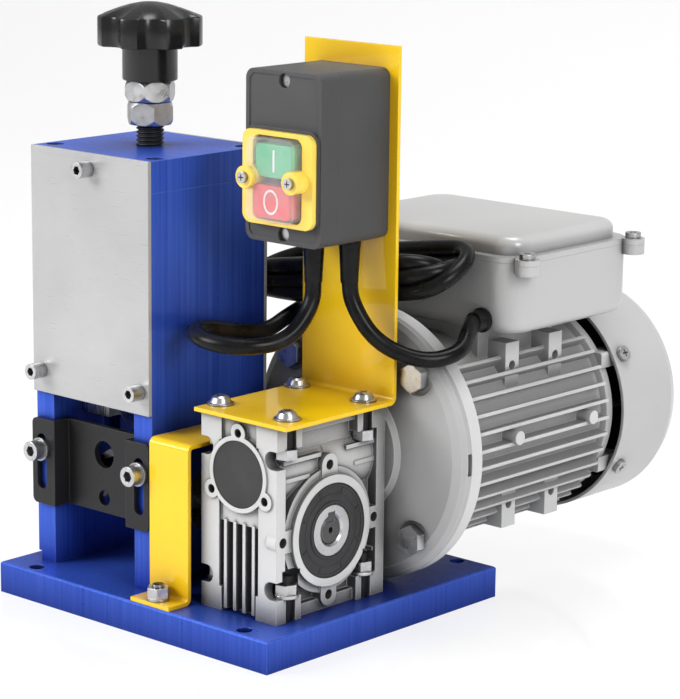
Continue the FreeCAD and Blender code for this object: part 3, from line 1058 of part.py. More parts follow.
def make_motor_frame():
    """The ribbed frame: a barrel, fins all round, four mounting pads and four nameplate bosses."""
    axis = ("gear_x", WORM_Z)
    barrel = rod("Y", "frame_radius", ("frame_front", "frame_back"), axis)
    solids = [barrel]
    count = int(size("rib_count"))
    box_gap = math.degrees(math.asin(size("pedestal_half") / size("fin_radius"))) + 2
    for index in range(count):
        angle = index * 360.0 / count
        if abs(angle - 90) < box_gap:
            continue
        fin = doc.addObject("Part::Box", "fin")
        bind(fin, Length="fin_radius - frame_radius + fin_root", Width="frame_back - frame_front - 3",
             Height="rib_thick")
        turn = Rotation(Vector(0, 1, 0), -angle)
        put(fin, "gear_x + (frame_radius - fin_root) * cos(%s) + rib_thick / 2 * sin(%s)" % (angle, angle),
            "frame_front + 1.5", WORM_Z + " + (frame_radius - fin_root) * sin(%s) - rib_thick / 2 * cos(%s)"
            % (angle, angle), turn)
        solids.append(fin)
    drills = []
    for side in (-1, 1):
        face = "(gear_x + %d * pad_reach)" % side
        back = "(gear_x + %d * pad_root)" % side
        run = (back, face) if side > 0 else (face, back)
        for end in (-1, 1):
            middle = "(%s + %d * pad_half_z)" % (WORM_Z, end)
            for y in ("pad_front_y", "pad_rear_y"):
                solids.append(block(run, (y + " - pad_length / 2", y + " + pad_length / 2"),
                                    (middle + " - pad_height / 2", middle + " + pad_height / 2")))
                out = "(gear_x + %d * (pad_reach + 1))" % side
                deep = "(gear_x + %d * (pad_reach - pad_hole_depth))" % side
                drill = (deep, out) if side > 0 else (out, deep)
                drills.append(rod("X", "pad_hole_dia / 2", drill, (y, middle)))
        tip = "(gear_x + %d * boss_reach)" % side
        foot = "(gear_x + %d * (frame_radius - 2))" % side
        run = (foot, tip) if side > 0 else (tip, foot)
        for y in ("boss_front_y", "boss_rear_y"):
            solids.append(rod("X", "boss_radius", run, (y, WORM_Z + " + boss_rise")))
    solids.append(block(("gear_x - pedestal_half", "gear_x + pedestal_half"),
                        ("box_front + pedestal_inset", "box_front + pedestal_inset + pedestal_length"),
                        (WORM_Z, "box_bottom")))
    bore = rod("Y", "frame_radius - frame_wall", ("frame_front - 1", "frame_back + 1"), axis)
    way = rod("Z", "wire_way_dia / 2", (WORM_Z, "box_bottom + 1"),
              ("gear_x - wire_way_x", "box_front + wire_way_y"))
    node("motor_frame", cut(fuse(solids), [bore, way] + drills))


def make_motor_inside():
    winding = "stator_bore + 3"
    outer = "(frame_radius - frame_wall - running_gap)"
    node("stator", turned("Y", "gear_x", "0", WORM_Z, [
        ("stator_bore", "stator_front + winding_reach"), (winding, "stator_front + winding_reach"), (winding, "stator_front"),
        (outer + " - 6", "stator_front"), (outer + " - 4", "stator_front + winding_reach"), (outer, "stator_front + winding_reach"),
        (outer, "stator_back - winding_reach"), (outer + " - 4", "stator_back - winding_reach"), (outer + " - 6", "stator_back"),
        (winding, "stator_back"), (winding, "stator_back - winding_reach"), ("stator_bore", "stator_back - winding_reach")]))
    bearing = "(rotor_dia / 2)"
    wide = "(rotor_dia / 2 + 2)"
    fan_back = "(fan_front + fan_width - 4)"
    node("rotor", turned("Y", "gear_x", "0", WORM_Z, [
        ("0", worm_rear() + " - 4"), ("motor_shaft_dia / 2", worm_rear() + " - 4"),
        ("motor_shaft_dia / 2", "joint_y - 4"), (bearing, "joint_y - 4"),
        (bearing, "frame_front + motor_bearing_width"), (wide, "frame_front + motor_bearing_width"),
        (wide, "stator_front + winding_reach"), ("rotor_radius", "stator_front + winding_reach"), ("rotor_radius", "stator_back - winding_reach"),
        (wide, "stator_back - winding_reach"), (wide, "frame_back - motor_bearing_width"),
        (bearing, "frame_back - motor_bearing_width"), (bearing, fan_back), ("0", fan_back)]))
    hub = ring("Y", "rotor_dia / 2 + running_gap", "rotor_dia / 2 + fan_hub_wall",
               ("fan_front", "fan_front + fan_width - 6"), ("gear_x", WORM_Z))
    disc = ring("Y", "rotor_dia / 2 + 4", "fan_radius - 6", ("fan_front", "fan_front + fan_disc_thick"),
                ("gear_x", WORM_Z))
    pieces = [hub, disc]
    count = int(size("fan_blades"))
    for index in range(count):
        angle = index * 360.0 / count
        blade = doc.addObject("Part::Box", "fan_blade")
        bind(blade, Length="fan_radius - rotor_dia / 2 - 4", Width="fan_width - 2",
             Height="fan_blade_thick")
        put(blade, "gear_x + (rotor_dia / 2 + 4) * cos(%s) + fan_blade_thick / 2 * sin(%s)" % (angle, angle),
            "fan_front",
            WORM_Z + " + (rotor_dia / 2 + 4) * sin(%s) - fan_blade_thick / 2 * cos(%s)" % (angle, angle),
            Rotation(Vector(0, 1, 0), -angle))
        pieces.append(blade)
    node("fan", fuse(pieces))


def make_fan_cowl():
    """A drawn cowl with a domed end and radial air slots."""
    wall = "cowl_wall"
    dome = "cowl_back - cowl_dome"
    shell = turned("Y", "gear_x", "0", WORM_Z, [
        ("cowl_radius - " + wall, "cowl_front"), ("cowl_radius", "cowl_front"), ("cowl_radius", dome),
        ("cowl_radius - cowl_dome * 0.3", dome + " + cowl_dome * 0.7"), ("cowl_radius - cowl_dome", "cowl_back"),
        ("0", "cowl_back"), ("0", "cowl_back - " + wall), ("cowl_radius - cowl_dome", "cowl_back - " + wall),
        ("cowl_radius - cowl_dome * 0.3 - " + wall, dome + " + cowl_dome * 0.7 - " + wall),
        ("cowl_radius - " + wall, dome)])
    tools = []
    count = int(size("cowl_slots"))
    for index in range(count):
        angle = index * 360.0 / count
        slot = doc.addObject("Part::Box", "slot")
        bind(slot, Length="slot_run", Width="slot_depth", Height="slot_span")
        put(slot, "gear_x + slot_start * cos(%s) + slot_span / 2 * sin(%s)" % (angle, angle), "cowl_back - 4",
            WORM_Z + " + slot_start * sin(%s) - slot_span / 2 * cos(%s)" % (angle, angle),
            Rotation(Vector(0, 1, 0), -angle))
        tools.append(slot)
    screws = []
    for angle in COWL_SCREW_ANGLES:
        screw, drill = radial_screw(angle)
        screws.append(screw)
        tools.append(drill)
    node("fan_cowl", cut(shell, tools))
    return screws


def radial_screw(angle):
    """A pan-head screw in the cowl that points at the motor's axis, and the drill for its hole."""
    turn = Rotation(Vector(0, 1, 0), 90 - angle)
    seat, tip = "cowl_radius", "cowl_radius - cowl_screw_length"
    pieces = []
    for radius, low, high in (("cowl_head_dia / 2", seat, seat + " + cowl_head_height"),
                              ("cowl_screw_dia / 2", tip, seat),
                              ("cowl_screw_dia / 2 + running_gap", tip, seat + " + 1")):
        piece = doc.addObject("Part::Cylinder", "screw")
        bind(piece, Radius=radius, Height="(%s) - (%s)" % (high, low))
        put(piece, "gear_x + (%s) * cos(%s)" % (low, angle), "cowl_screw_y",
            WORM_Z + " + (%s) * sin(%s)" % (low, angle), turn)
        pieces.append(piece)
    return fuse(pieces[:2]), pieces[2]


# Terminal box with its lid, and the capacitor in it
def make_terminal_box(cowl_screws):
    left, right = "(gear_x - box_half_width)", "(gear_x + box_half_width)"
    back = "(box_front + box_length)"
    wall = "box_wall"
    outer = slab((left, right), ("box_front", back), ("box_bottom", "box_rim"), "box_corner", None,
                 "box_round")
    inner = slab((left + " + " + wall, right + " - " + wall), ("box_front + " + wall, back + " - " + wall),
                 ("box_bottom + " + wall, "box_rim + 1"), "box_corner - box_wall", None,
                 "box_round - box_wall")
    tabs, places = [], []
    for x, sign in ((right, 1), (left, -1)):
        for y in ("box_front + tab_radius", back + " - tab_radius"):
            places.append(("%s + %d * tab_reach" % (x, sign), y))
    for place in places:
        tabs.append(rod("Z", "tab_radius", ("box_rim - 5", "box_rim"), place))
    drills = [hole("Z", "lid_screw_dia", ("box_rim - 4", "box_rim + 1"), place) for place in places]
    drills.append(rod("Z", "wire_way_dia / 2 - 0.5", ("box_bottom - 1", "box_bottom + 4"),
                      ("gear_x - wire_way_x", "box_front + wire_way_y")))
    x, y, z = MOTOR_GLAND
    drills.append(hole("Y", "grommet_dia * 0.7", ("box_front - 1", "box_front + 8"), (x, z)))
    node("terminal_box", cut(fuse([outer] + tabs), [inner] + drills))
    step = "lid_step"
    lid = fuse([slab((left, right), ("box_front", back), ("box_rim", "box_rim + lid_rim_thick"), "box_corner"),
                slab((left + " + " + step, right + " - " + step), ("box_front + " + step, back + " - " + step),
                     ("box_rim", "lid_top"), "box_corner - 3", "lid_round")]
               + [rod("Z", "tab_radius", ("box_rim", "box_rim + lid_rim_thick"), place) for place in places])
    hollow = slab((left + " + lid_step + lid_hollow_wall", right + " - lid_step - lid_hollow_wall"),
                  ("box_front + lid_step + lid_hollow_wall", back + " - lid_step - lid_hollow_wall"),
                  ("box_rim - 1", "lid_top - lid_hollow_wall"), "box_corner - lid_step", "3")
    node("terminal_lid", cut(lid, [hollow] + [
        hole("Z", "lid_screw_dia", ("box_rim - 1", "box_rim + 4"), place) for place in places]))
    lid_screws = [fuse([rod("Z", "lid_head_dia / 2",
                            ("box_rim + lid_rim_thick", "box_rim + lid_rim_thick + lid_head_height"), place),
                        rod("Z", "lid_screw_dia / 2", ("box_rim - 3.5", "box_rim + lid_rim_thick"), place)])
                  for place in places]
    node("motor_screws", group(cowl_screws + lid_screws))
    node("capacitor", rod("X", "capacitor_dia / 2",
                          ("gear_x - 8", "gear_x - 8 + capacitor_length * 0.9"),
                          ("box_front + box_length - 24", "box_bottom + box_wall + capacitor_dia / 2 + 0.2")))


# Bracket over the gearbox, with the switch box on it
def make_bracket():
    t = "bracket_thick"
    front, back, low, top = "bracket_front", "bracket_back", GEAR_TOP, "bracket_top"
    points = [(front, low), (back, low), (back, top), (back + " - " + t, top),
              (back + " - " + t, low + " + " + t), (front, low + " + " + t)]
    bent = strip(points, ("bracket_left", "bracket_left + bracket_width"), "bracket_bend",
                 ([(back, low)], [(back + " - " + t, low + " + " + t)]))
    drills = [rod("Z", "bracket_screw_dia / 2 + 0.3", (low + " - 1", low + " + bracket_thick + 1"), place)
              for place in gearbox_stud_places()]
    node("switch_bracket", cut(bent, drills))
    pieces = []
    for place in gearbox_stud_places():
        seat = "(%s + bracket_thick)" % GEAR_TOP
        pieces.append(turned("Z", place[0], place[1], seat, [
            ("0", "-bracket_screw_length"), ("bracket_screw_dia / 2", "-bracket_screw_length"),
            ("bracket_screw_dia / 2", "0"),
            ("pan_head_dia / 2 + 0.8", "0"), ("pan_head_dia / 2 + 0.8", "0.9"), ("pan_head_dia / 2 - 0.4", "1.2"),
            ("pan_head_dia / 2 - 1.6", "pan_head_height - 0.8"), ("pan_head_dia / 4", "pan_head_height"),
            ("0", "pan_head_height")]))
        low = "(%s - foot_height - nut_height)" % GEAR_TOP
        pieces.append(cut(hexagon("Z", "nut_flats", (low, low + " + nut_height"), place, 10),
                          [hole("Z", "bracket_screw_dia", (low + " - 1", low + " + nut_height + 1"), place)]))
    node("bracket_screws", group(pieces))


def switch_half(face, end, open_side):
    """Half of the switch box and the hollow in it, with its edges along Y rounded."""
    wall = "switch_wall"
    outer = upended((SWITCH_LEFT, SWITCH_RIGHT), (face, end), ("switch_bottom", SWITCH_TOP), "switch_corner")
    run = (face + " + " + wall, end + " + 1") if open_side > 0 else (face + " - 1", end + " - " + wall)
    inner = upended((SWITCH_LEFT + " + " + wall, SWITCH_RIGHT + " - " + wall), run,
                    ("switch_bottom + " + wall, SWITCH_TOP + " - " + wall), "switch_corner - switch_wall")
    return outer, inner


def make_switch_box():
    back = "(bracket_back - bracket_thick)"
    places = [("switch_x", "switch_bottom + box_screw_inset"), ("switch_x", SWITCH_TOP + " - box_screw_inset")]
    outer, inner = switch_half("switch_split", back, -1)
    posts = [rod("Y", "post_dia / 2", ("switch_split", back + " - 1"), place) for place in places]
    drills = [hole("Y", "post_screw_dia", ("switch_split - 1", "switch_split + post_screw_reach + 1"), place)
              for place in places]
    for x, y, z in (MAINS_EXIT, MOTOR_EXIT):
        drills.append(hole("Z", "grommet_dia * 0.7", ("switch_bottom - 1", "switch_bottom + switch_wall + 1"),
                           (x, y)))
    inside = upended((SWITCH_LEFT, SWITCH_RIGHT), ("switch_split", back), ("switch_bottom", SWITCH_TOP),
                     "switch_corner")
    kept = doc.addObject("Part::Common", "inside_box")
    kept.Base = fuse(posts)
    kept.Tool = inside
    node("switch_base", cut(fuse([cut(outer, [inner]), kept]), drills))
    outer, inner = switch_half("switch_front", "switch_split", 1)
    recess = upended((SWITCH_LEFT + " + panel_rim", SWITCH_RIGHT + " - panel_rim"),
                     ("switch_front - 1", "switch_front + panel_recess"),
                     ("switch_bottom + panel_rim", SWITCH_TOP + " - panel_rim"), "switch_corner - panel_rim + 1")
    gasket = upended(("switch_x - bezel_width / 2 - gasket_reach", "switch_x + bezel_width / 2 + gasket_reach"),
                     (BEZEL_BACK, "switch_front + 1"),
                     ("bezel_bottom - 0.3", "bezel_bottom + bezel_height + 2 * gasket_reach"), "bezel_corner + 1")
    window = upended((BOOT_LEFT + " + 2 * membrane_thick", BOOT_RIGHT + " - 2 * membrane_thick"),
                     (BEZEL_BACK + " - 1", "switch_front + switch_wall + 1"),
                     (BOOT_LOW + " + 2 * membrane_thick", BOOT_HIGH + " - 2 * membrane_thick"), "button_corner")
    posts = [rod("Y", "post_dia / 2", ("switch_front + 1", "switch_split"), place) for place in places]
    inside = upended((SWITCH_LEFT, SWITCH_RIGHT), ("switch_front", "switch_split"),
                     ("switch_bottom", SWITCH_TOP), "switch_corner")
    kept = doc.addObject("Part::Common", "inside_cover")
    kept.Base = fuse(posts)
    kept.Tool = inside
    seat = "(switch_front + post_floor)"
    drills = [hole("Y", "post_screw_dia", ("switch_front", "switch_split + 1"), place) for place in places]
    drills += [rod("Y", "cover_hole_dia / 2", ("switch_front - 1", seat), place) for place in places]
    node("switch_cover", cut(fuse([cut(outer, [inner, recess]), kept, gasket]), [window] + drills))
    screws = [fuse([rod("Y", "cover_hole_dia / 2 - 0.3", (seat + " - 2.6", seat), place),
                    rod("Y", "post_screw_dia / 2", (seat, "switch_split + post_screw_reach"), place)])
              for place in places]
    frame = upended(("switch_x - bezel_width / 2", "switch_x + bezel_width / 2"), (BEZEL_FACE, BEZEL_BACK),
                    ("bezel_bottom", "bezel_bottom + bezel_height"), "bezel_corner")
    opening = upended((BOOT_LEFT + " - boot_gap", BOOT_RIGHT + " + boot_gap"), (BEZEL_FACE + " - 1", "switch_front"),
                      (BOOT_LOW + " - boot_gap", BOOT_HIGH + " + boot_gap"), "boot_corner")
    ear_face = "(%s - ear_reach)" % BEZEL_FACE
    ears = [rod("Y", "ear_radius", (ear_face, BEZEL_BACK), (x, "ear_z")) for x in EAR_PLACES]
    drills = [hole("Y", "ear_screw_dia", (ear_face + " - 1", "switch_front"), (x, "ear_z")) for x in EAR_PLACES]
    node("switch_bezel", cut(fuse([cut(frame, [opening])] + ears), drills))
    for x in EAR_PLACES:
        screws.append(fuse([rod("Y", "ear_head_dia / 2", (ear_face + " - ear_head_height", ear_face), (x, "ear_z")),
                            rod("Y", "ear_screw_dia / 2", (ear_face, BEZEL_BACK), (x, "ear_z"))]))
    node("switch_screws", group(screws))
    boot = upended((BOOT_LEFT, BOOT_RIGHT), (BOOT_FACE, BEZEL_BACK), (BOOT_LOW, BOOT_HIGH), "boot_corner")
    hollow = upended((BOOT_LEFT + " + membrane_thick", BOOT_RIGHT + " - membrane_thick"),
                     (BOOT_FACE + " + membrane_thick", "switch_front"),
                     (BOOT_LOW + " + membrane_thick", BOOT_HIGH + " - membrane_thick"),
                     "boot_corner - membrane_thick")
    around_ears = [rod("Y", "ear_radius + boot_gap", (BOOT_FACE + " - 1", "switch_front"), (x, "ear_z"))
                   for x in EAR_PLACES]
    node("membrane", cut(boot, [hollow] + around_ears))
    for label, z, sunk in (("start_button", "start_z", "start_sunk"), ("stop_button", "stop_z", "stop_sunk")):
        key = upended(("switch_x - button_width / 2", "switch_x + button_width / 2"),
                      ("%s + membrane_thick + %s" % (BOOT_FACE, sunk), "button_back"),
                      (z + " - button_height / 2", z + " + button_height / 2"), "button_corner")
        node(label, cut(key, [rod("Y", "ear_radius + ear_clear", (BOOT_FACE, "button_back + 1"), (x, "ear_z"))
                              for x in EAR_PLACES]))
    node("switch_module", block(("switch_x - module_width / 2", "switch_x + module_width / 2"),
                                ("button_back + button_travel + button_gap", back + " - switch_wall"),
                                ("stop_z - button_height / 2", "start_z + button_height / 2")))


def upended(x, y, z, corner):
    """A pad along Y between two places along each axis, with its edges along Y rounded."""
    body = doc.addObject("PartDesign::Body", "upended")
    sketch = outline_sketch(body, "XZ_Plane", [(x[0], z[0]), (x[1], z[0]), (x[1], z[1]), (x[0], z[1])])
    pad = body.newObject("PartDesign::Pad", "pad")
    pad.Profile = sketch
    pad.Reversed = True
    bind(pad, Length="(%s) - (%s)" % (y[1], y[0]))
    body.Tip = pad
    rounded(body, pad, lambda edge: abs(edge.tangentAt(edge.FirstParameter).y) > 0.999, corner)
    return put(body, 0, y[0], 0)


# Cords. Each route is a list of points chosen by hand, joined by straight runs and tangent arcs.
MAINS_EXIT = (62.0, -20.3, 194.5)
MOTOR_EXIT = (74.5, -8.5, 194.5)
MOTOR_GLAND = (101.0, 60.8, 149.5)
MAINS_ROUTE = [
    (62.0, -20.3, 187.5), (62.0, -20.3, 164.5), (60.8, -37.0, 147.1), (50.3, -59.7, 145.9),
    (30.0, -67.6, 148.1), (10.5, -58.8, 152.3), (3.4, -38.6, 155.3), (7.2, -18.0, 150.5),
    (9.6, 2.0, 143.0), (11.3, 21.0, 148.0), (6.0, 36.0, 158.0)]
MOTOR_ROUTE = [
    (74.5, -8.5, 187.5), (74.5, -8.5, 166.0), (87.0, -3.0, 146.5), (103.0, 11.0, 139.0),
    (108.0, 30.0, 142.0), (103.0, 43.5, 148.5), (101.0, 53.2, 149.4)]
TAIL_ROUTE = [
    (-38.0, 36.0, 156.0), (-54.0, 37.0, 146.0), (-58.0, 38.0, 124.0), (-57.0, 38.0, 97.0),
    (-56.0, 37.5, 68.0), (-56.5, 39.0, 44.0), (-55.0, 50.0, 25.0), (-55.0, 70.0, 25.0)]
COIL_MIDDLE = (38.0, 36.5, 167.0)
COIL_TILT = -8


def stood_at(body, place, rotation):
    """A body's shape, stood at a place of its own."""
    link = doc.addObject("Part::Compound", "placed")
    link.Links = [body]
    link.Placement = Placement(Vector(*place), rotation)
    return link


def cord_path(points):
    """Straight runs joined by tangent arcs, and the arcs' radii."""
    vectors = [Vector(*point) for point in points]
    edges, radii = [], []
    start = vectors[0]
    for before, corner, after in zip(vectors, vectors[1:], vectors[2:]):
        back, ahead = (before - corner), (after - corner)
        shorter = min(back.Length, ahead.Length)
        turn = math.pi - back.getAngle(ahead)
        reach = 0.45 * shorter
        radii.append(reach / math.tan(turn / 2))
        back.normalize()
        ahead.normalize()
        enter, leave = corner + back * reach, corner + ahead * reach
        bisector = back + ahead
        bisector.normalize()
        to_centre = math.hypot(reach, radii[-1])
        middle = corner + bisector * (to_centre - radii[-1])
        edges.append(Part.LineSegment(start, enter).toShape())
        edges.append(Part.Arc(enter, middle, leave).toShape())
        start = leave
    edges.append(Part.LineSegment(start, vectors[-1]).toShape())
    return Part.Wire(edges), radii


def make_tube(label, points, coil=None):
    """A cord along a route. Where it runs into the coil, its end is cut to the coil's surface."""
    path, radii = cord_path(points)
    radius = size("cord_dia") / 2
    first = Vector(*points[0])
    direction = Vector(*points[1]) - first
    section = Part.Wire(Part.makeCircle(radius, first, direction))
    shape = path.makePipeShell([section], True, False)
    ratio = shape.Volume / (math.pi * radius ** 2 * path.Length)
    print("%s length %.0f mm, volume against section times length %.4f" % (label, path.Length, ratio))
    print("%s radii %s" % (label, " ".join("%.0f" % radius for radius in radii)))
    tube = doc.addObject("Part::Feature", "tube")
    tube.Shape = shape
    node(label, tube if coil is None else cut(tube, [coil]))


def make_cords():
    half = "coil_half_height"
    coil = slab(("-coil_half_length", "coil_half_length"), ("-coil_half_width", "coil_half_width"),
                ("-" + half, half), "coil_half_width - 0.5", "coil_round", "coil_round")
    coil = stood_at(coil, COIL_MIDDLE, Rotation(Vector(0, 1, 0), COIL_TILT))
    make_tube("motor_lead", MOTOR_ROUTE)
    make_tube("mains_lead", MAINS_ROUTE, coil)
    make_tube("mains_tail", TAIL_ROUTE, coil)
    node("mains_coil", coil)
    x, y, z = TAIL_ROUTE[-1]
    node("plug", turned("Y", str(x), "0", str(z), [
        ("0", str(y)), ("cord_dia / 2 + gland_wall", str(y)), ("cord_dia / 2 + 2.5", "%s + 6" % y),
        ("plug_dia / 2", "%s + 11" % y), ("plug_dia / 2", "%s + plug_length" % y),
        ("0", "%s + plug_length" % y)]))
    grommets = []
    for x, y, z in (MAINS_EXIT, MOTOR_EXIT):
        grommets.append(turned("Z", str(x), str(y), "switch_bottom", [
            ("0", "-grommet_length"), ("cord_dia / 2 + gland_wall", "-grommet_length"), ("grommet_dia / 2", "-2"),
            ("grommet_dia / 2", "0"), ("grommet_dia * 0.35", "0"), ("grommet_dia * 0.35", "switch_wall"),
            ("0", "switch_wall")]))
    x, y, z = MOTOR_GLAND
    grommets.append(turned("Y", str(x), str(y), str(z), [
        ("0", "-grommet_length + 0.2"), ("cord_dia / 2 + gland_wall", "-grommet_length + 0.2"), ("grommet_dia / 2", "-2"),
        ("grommet_dia / 2", "0"), ("grommet_dia * 0.35", "0"), ("grommet_dia * 0.35", "box_wall"),
        ("0", "box_wall")]))
    node("cord_grommets", group(grommets))


make_base_plate()
make_tower()
make_guide_plate()
make_blade_carrier()
make_blade()
make_adjuster()
make_drive_line()
make_shaft_guard()
make_base_studs()
make_housing()
make_gearbox_inside()
make_worm_wheel()
make_worm()
make_motor_flanges()
make_motor_frame()
make_motor_inside()
make_terminal_box(make_fan_cowl())
make_bracket()
make_switch_box()
make_cords()
doc.recompute()

broken = [item.Label for item in doc.Objects if "Invalid" in item.State or "Error" in item.State]
broken += [piece.Label for piece in NODES if piece.Shape.isNull() or not piece.Shape.isValid()
           or not piece.Shape.Solids]
if broken:
    raise SystemExit("These did not build: " + ", ".join(broken))
os.makedirs("parts", exist_ok=True)
for piece in NODES:
    piece.Shape.exportStep("parts/%s.step" % piece.Label)
print("%d nodes, %d solids" % (len(NODES), sum(len(piece.Shape.Solids) for piece in NODES)))
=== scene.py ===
import bpy
import json
import math
from mathutils import Matrix, Vector

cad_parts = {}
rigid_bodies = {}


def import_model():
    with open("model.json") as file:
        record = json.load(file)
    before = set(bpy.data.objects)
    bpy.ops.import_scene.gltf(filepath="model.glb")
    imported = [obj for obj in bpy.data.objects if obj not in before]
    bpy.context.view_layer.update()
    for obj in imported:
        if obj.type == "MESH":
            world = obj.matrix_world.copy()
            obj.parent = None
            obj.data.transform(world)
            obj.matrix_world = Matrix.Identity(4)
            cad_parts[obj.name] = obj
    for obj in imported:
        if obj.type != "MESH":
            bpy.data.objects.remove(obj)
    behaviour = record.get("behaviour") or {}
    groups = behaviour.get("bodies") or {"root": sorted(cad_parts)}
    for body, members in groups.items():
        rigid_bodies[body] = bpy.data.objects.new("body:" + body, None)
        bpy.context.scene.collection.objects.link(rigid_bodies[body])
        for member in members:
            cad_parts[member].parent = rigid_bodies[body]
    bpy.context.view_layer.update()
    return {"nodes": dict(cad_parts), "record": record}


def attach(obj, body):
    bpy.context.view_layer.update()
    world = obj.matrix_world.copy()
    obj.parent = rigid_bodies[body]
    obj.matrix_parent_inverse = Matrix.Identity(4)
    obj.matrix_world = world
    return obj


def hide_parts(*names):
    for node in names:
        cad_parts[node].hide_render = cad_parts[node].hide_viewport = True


for thing in list(bpy.data.objects):
    bpy.data.objects.remove(thing)
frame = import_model()
nodes = frame["nodes"]

MM = 0.001
# Where things stand on the machine, in millimetres.
TOWER_AXIS = (-42.7, -27.2)
GEAR_X, DRIVE_Y, OUTPUT_Z, WORM_Z = 55.2, -27.2, 56.0, 86.0
BOLT_X, BOLT_Y = 22.0, 27.0
BOLTS = [(GEAR_X + side * BOLT_X, DRIVE_Y + end * BOLT_Y) for side in (-1, 1) for end in (-1, 1)]


# ---- Camera

def place_camera():
    """The photograph's view: a long lens a little above the machine, from its front right corner."""
    turn, lift, roll = math.radians(41.92), math.radians(12.37), math.radians(0.66)
    back = Vector((math.sin(turn) * math.cos(lift), -math.cos(turn) * math.cos(lift), math.sin(lift)))
    level = Vector((math.cos(turn), math.sin(turn), 0.0))
    upward = back.cross(level)
    right = level * math.cos(roll) + upward * math.sin(roll)
    up = upward * math.cos(roll) - level * math.sin(roll)
    lens = bpy.data.cameras.new("photo_lens")
    lens.lens = 139.76
    lens.sensor_width = 36.0
    lens.sensor_fit = "AUTO"
    lens.clip_start = 0.05
    lens.clip_end = 20.0
    camera = bpy.data.objects.new("photo_camera", lens)
    pose = Matrix((right, up, back)).transposed().to_4x4()
    pose.translation = (0.9243, -0.9611, 0.4211)
    camera.matrix_world = pose
    bpy.context.scene.collection.objects.link(camera)
    bpy.context.scene.camera = camera


place_camera()


# ---- Finishes

WHITE = (1.0, 1.0, 1.0, 1.0)
NOISE_SPAN = (0.3, 0.7)  # most of a noise's levels lie between these


class Tone:
    """A socket in a graph. Sums, products and comparisons of it add their own nodes."""

    def __init__(self, graph, socket):
        self.graph = graph
        self.socket = socket

    def math(self, kind, first, second):
        return self.graph.math(kind, first, second)

    def __add__(self, other):
        return self.math("ADD", self, other)

    __radd__ = __add__

    def __sub__(self, other):
        return self.math("SUBTRACT", self, other)

    def __rsub__(self, other):
        return self.math("SUBTRACT", other, self)

    def __mul__(self, other):
        return self.math("MULTIPLY", self, other)

    __rmul__ = __mul__

    def __lt__(self, other):
        return self.math("LESS_THAN", self, other)


class Graph:
    """A node tree, and the one way in which nodes are added to it."""

    def __init__(self, tree):
        self.tree = tree

    def join(self, socket, value):
        if isinstance(value, Tone):
            self.tree.links.new(value.socket, socket)
        else:
            socket.default_value = value

    def node(self, kind, settings=None, sockets=None, out=0):
        """A node of a type, with its settings first and then its sockets' values or links."""
        made = self.tree.nodes.new(kind)
        for name, value in (settings or {}).items():
            setattr(made, name, value)
        for name, value in (sockets or {}).items():
            self.join(made.inputs[name], value)
        return Tone(self, made.outputs[out])

    def math(self, kind, first, second=0.0):
        return self.node("ShaderNodeMath", {"operation": kind}, {0: first, 1: second})

    def spread(self, tone, low, high, start=0.0, end=1.0):
        """A tone between two levels brought to between two numbers."""
        return self.node("ShaderNodeMapRange", None, {
            "Value": tone, "From Min": low, "From Max": high, "To Min": start, "To Max": end})


class Finish(Graph):
    """A material with its shader's own numbers, and the nodes that vary it over the surface."""

    def __init__(self, name, color, roughness, **own):
        self.material = bpy.data.materials.new(name)
        self.material.use_nodes = True
        self.material.diffuse_color = (*color, 1.0)
        super().__init__(self.material.node_tree)
        self.shader = self.tree.nodes["Principled BSDF"]
        self.set("Base Color", (*color, 1.0))
        self.set("Roughness", roughness)
        for socket, value in own.items():
            self.set(socket.replace("_", " ").title().replace("Ior", "IOR"), value)

    def set(self, socket, value):
        self.join(self.shader.inputs[socket], value)

    def place(self, stretch=(1.0, 1.0, 1.0)):
        """Where a point is on the machine, in metres, stretched along its axes."""
        where = self.node("ShaderNodeTexCoord", out=3)
        return self.node("ShaderNodeVectorMath", {"operation": "MULTIPLY"}, {0: where, 1: stretch})

    def noise(self, scale, detail=3.0, stretch=(1.0, 1.0, 1.0), roughness=0.5):
        return self.node("ShaderNodeTexNoise", None, {
            "Vector": self.place(stretch), "Scale": scale, "Detail": detail, "Roughness": roughness})

    def blend(self, factor, first, second):
        """A colour between two, by a factor."""
        return self.node("ShaderNodeMix", {"data_type": "RGBA"}, {
            0: factor, 6: (*first, 1.0) if isinstance(first, tuple) else first,
            7: (*second, 1.0) if isinstance(second, tuple) else second}, out=2)

    def mottle(self, tone, low, high):
        """A colour that drifts between two as a noise does."""
        return self.blend(self.spread(tone, *NOISE_SPAN), low, high)

    def soft_edge(self, radius):
        """The surface's direction, rounded over at its edges."""
        return self.node("ShaderNodeBevel", {"samples": 4}, {"Radius": radius})

    def edge_mask(self, soft):
        """1 on the edges that the soft direction rounds over, and 0 on the flats."""
        flat = self.node("ShaderNodeNewGeometry", out=1)
        agreement = self.node("ShaderNodeVectorMath", {"operation": "DOT_PRODUCT"}, {0: soft, 1: flat}, out=1)
        return self.spread(agreement, 0.995, 0.9)

    def openness(self, reach, low=0.35, high=0.95):
        """1 on open surfaces, falling to 0 in grooves and corners of a reach; it masks the painted shade in
        hollows.
        """
        light = self.node("ShaderNodeAmbientOcclusion", {"samples": 6}, {"Distance": reach}, out=1)
        return self.spread(light, low, high)

    def paint(self, shade, soft=None, highlight_share=0.0, edge_highlight=None):
        """Colour the surface, with a share of a paler colour on its soft edges as a painted highlight."""
        if edge_highlight is not None:
            shade = self.blend(self.edge_mask(soft) * highlight_share, shade, edge_highlight)
        self.set("Base Color", shade)

    def vary_roughness(self, tone, low, high, span=NOISE_SPAN):
        self.set("Roughness", self.spread(tone, *span, low, high))

    def relief(self, height, depth, strength, soft=None):
        """Bump from a height tone, over soft edges if they are given."""
        sockets = {"Height": height, "Distance": depth, "Strength": strength}
        if soft is not None:
            sockets["Normal"] = soft
        self.set("Normal", self.node("ShaderNodeBump", None, sockets))


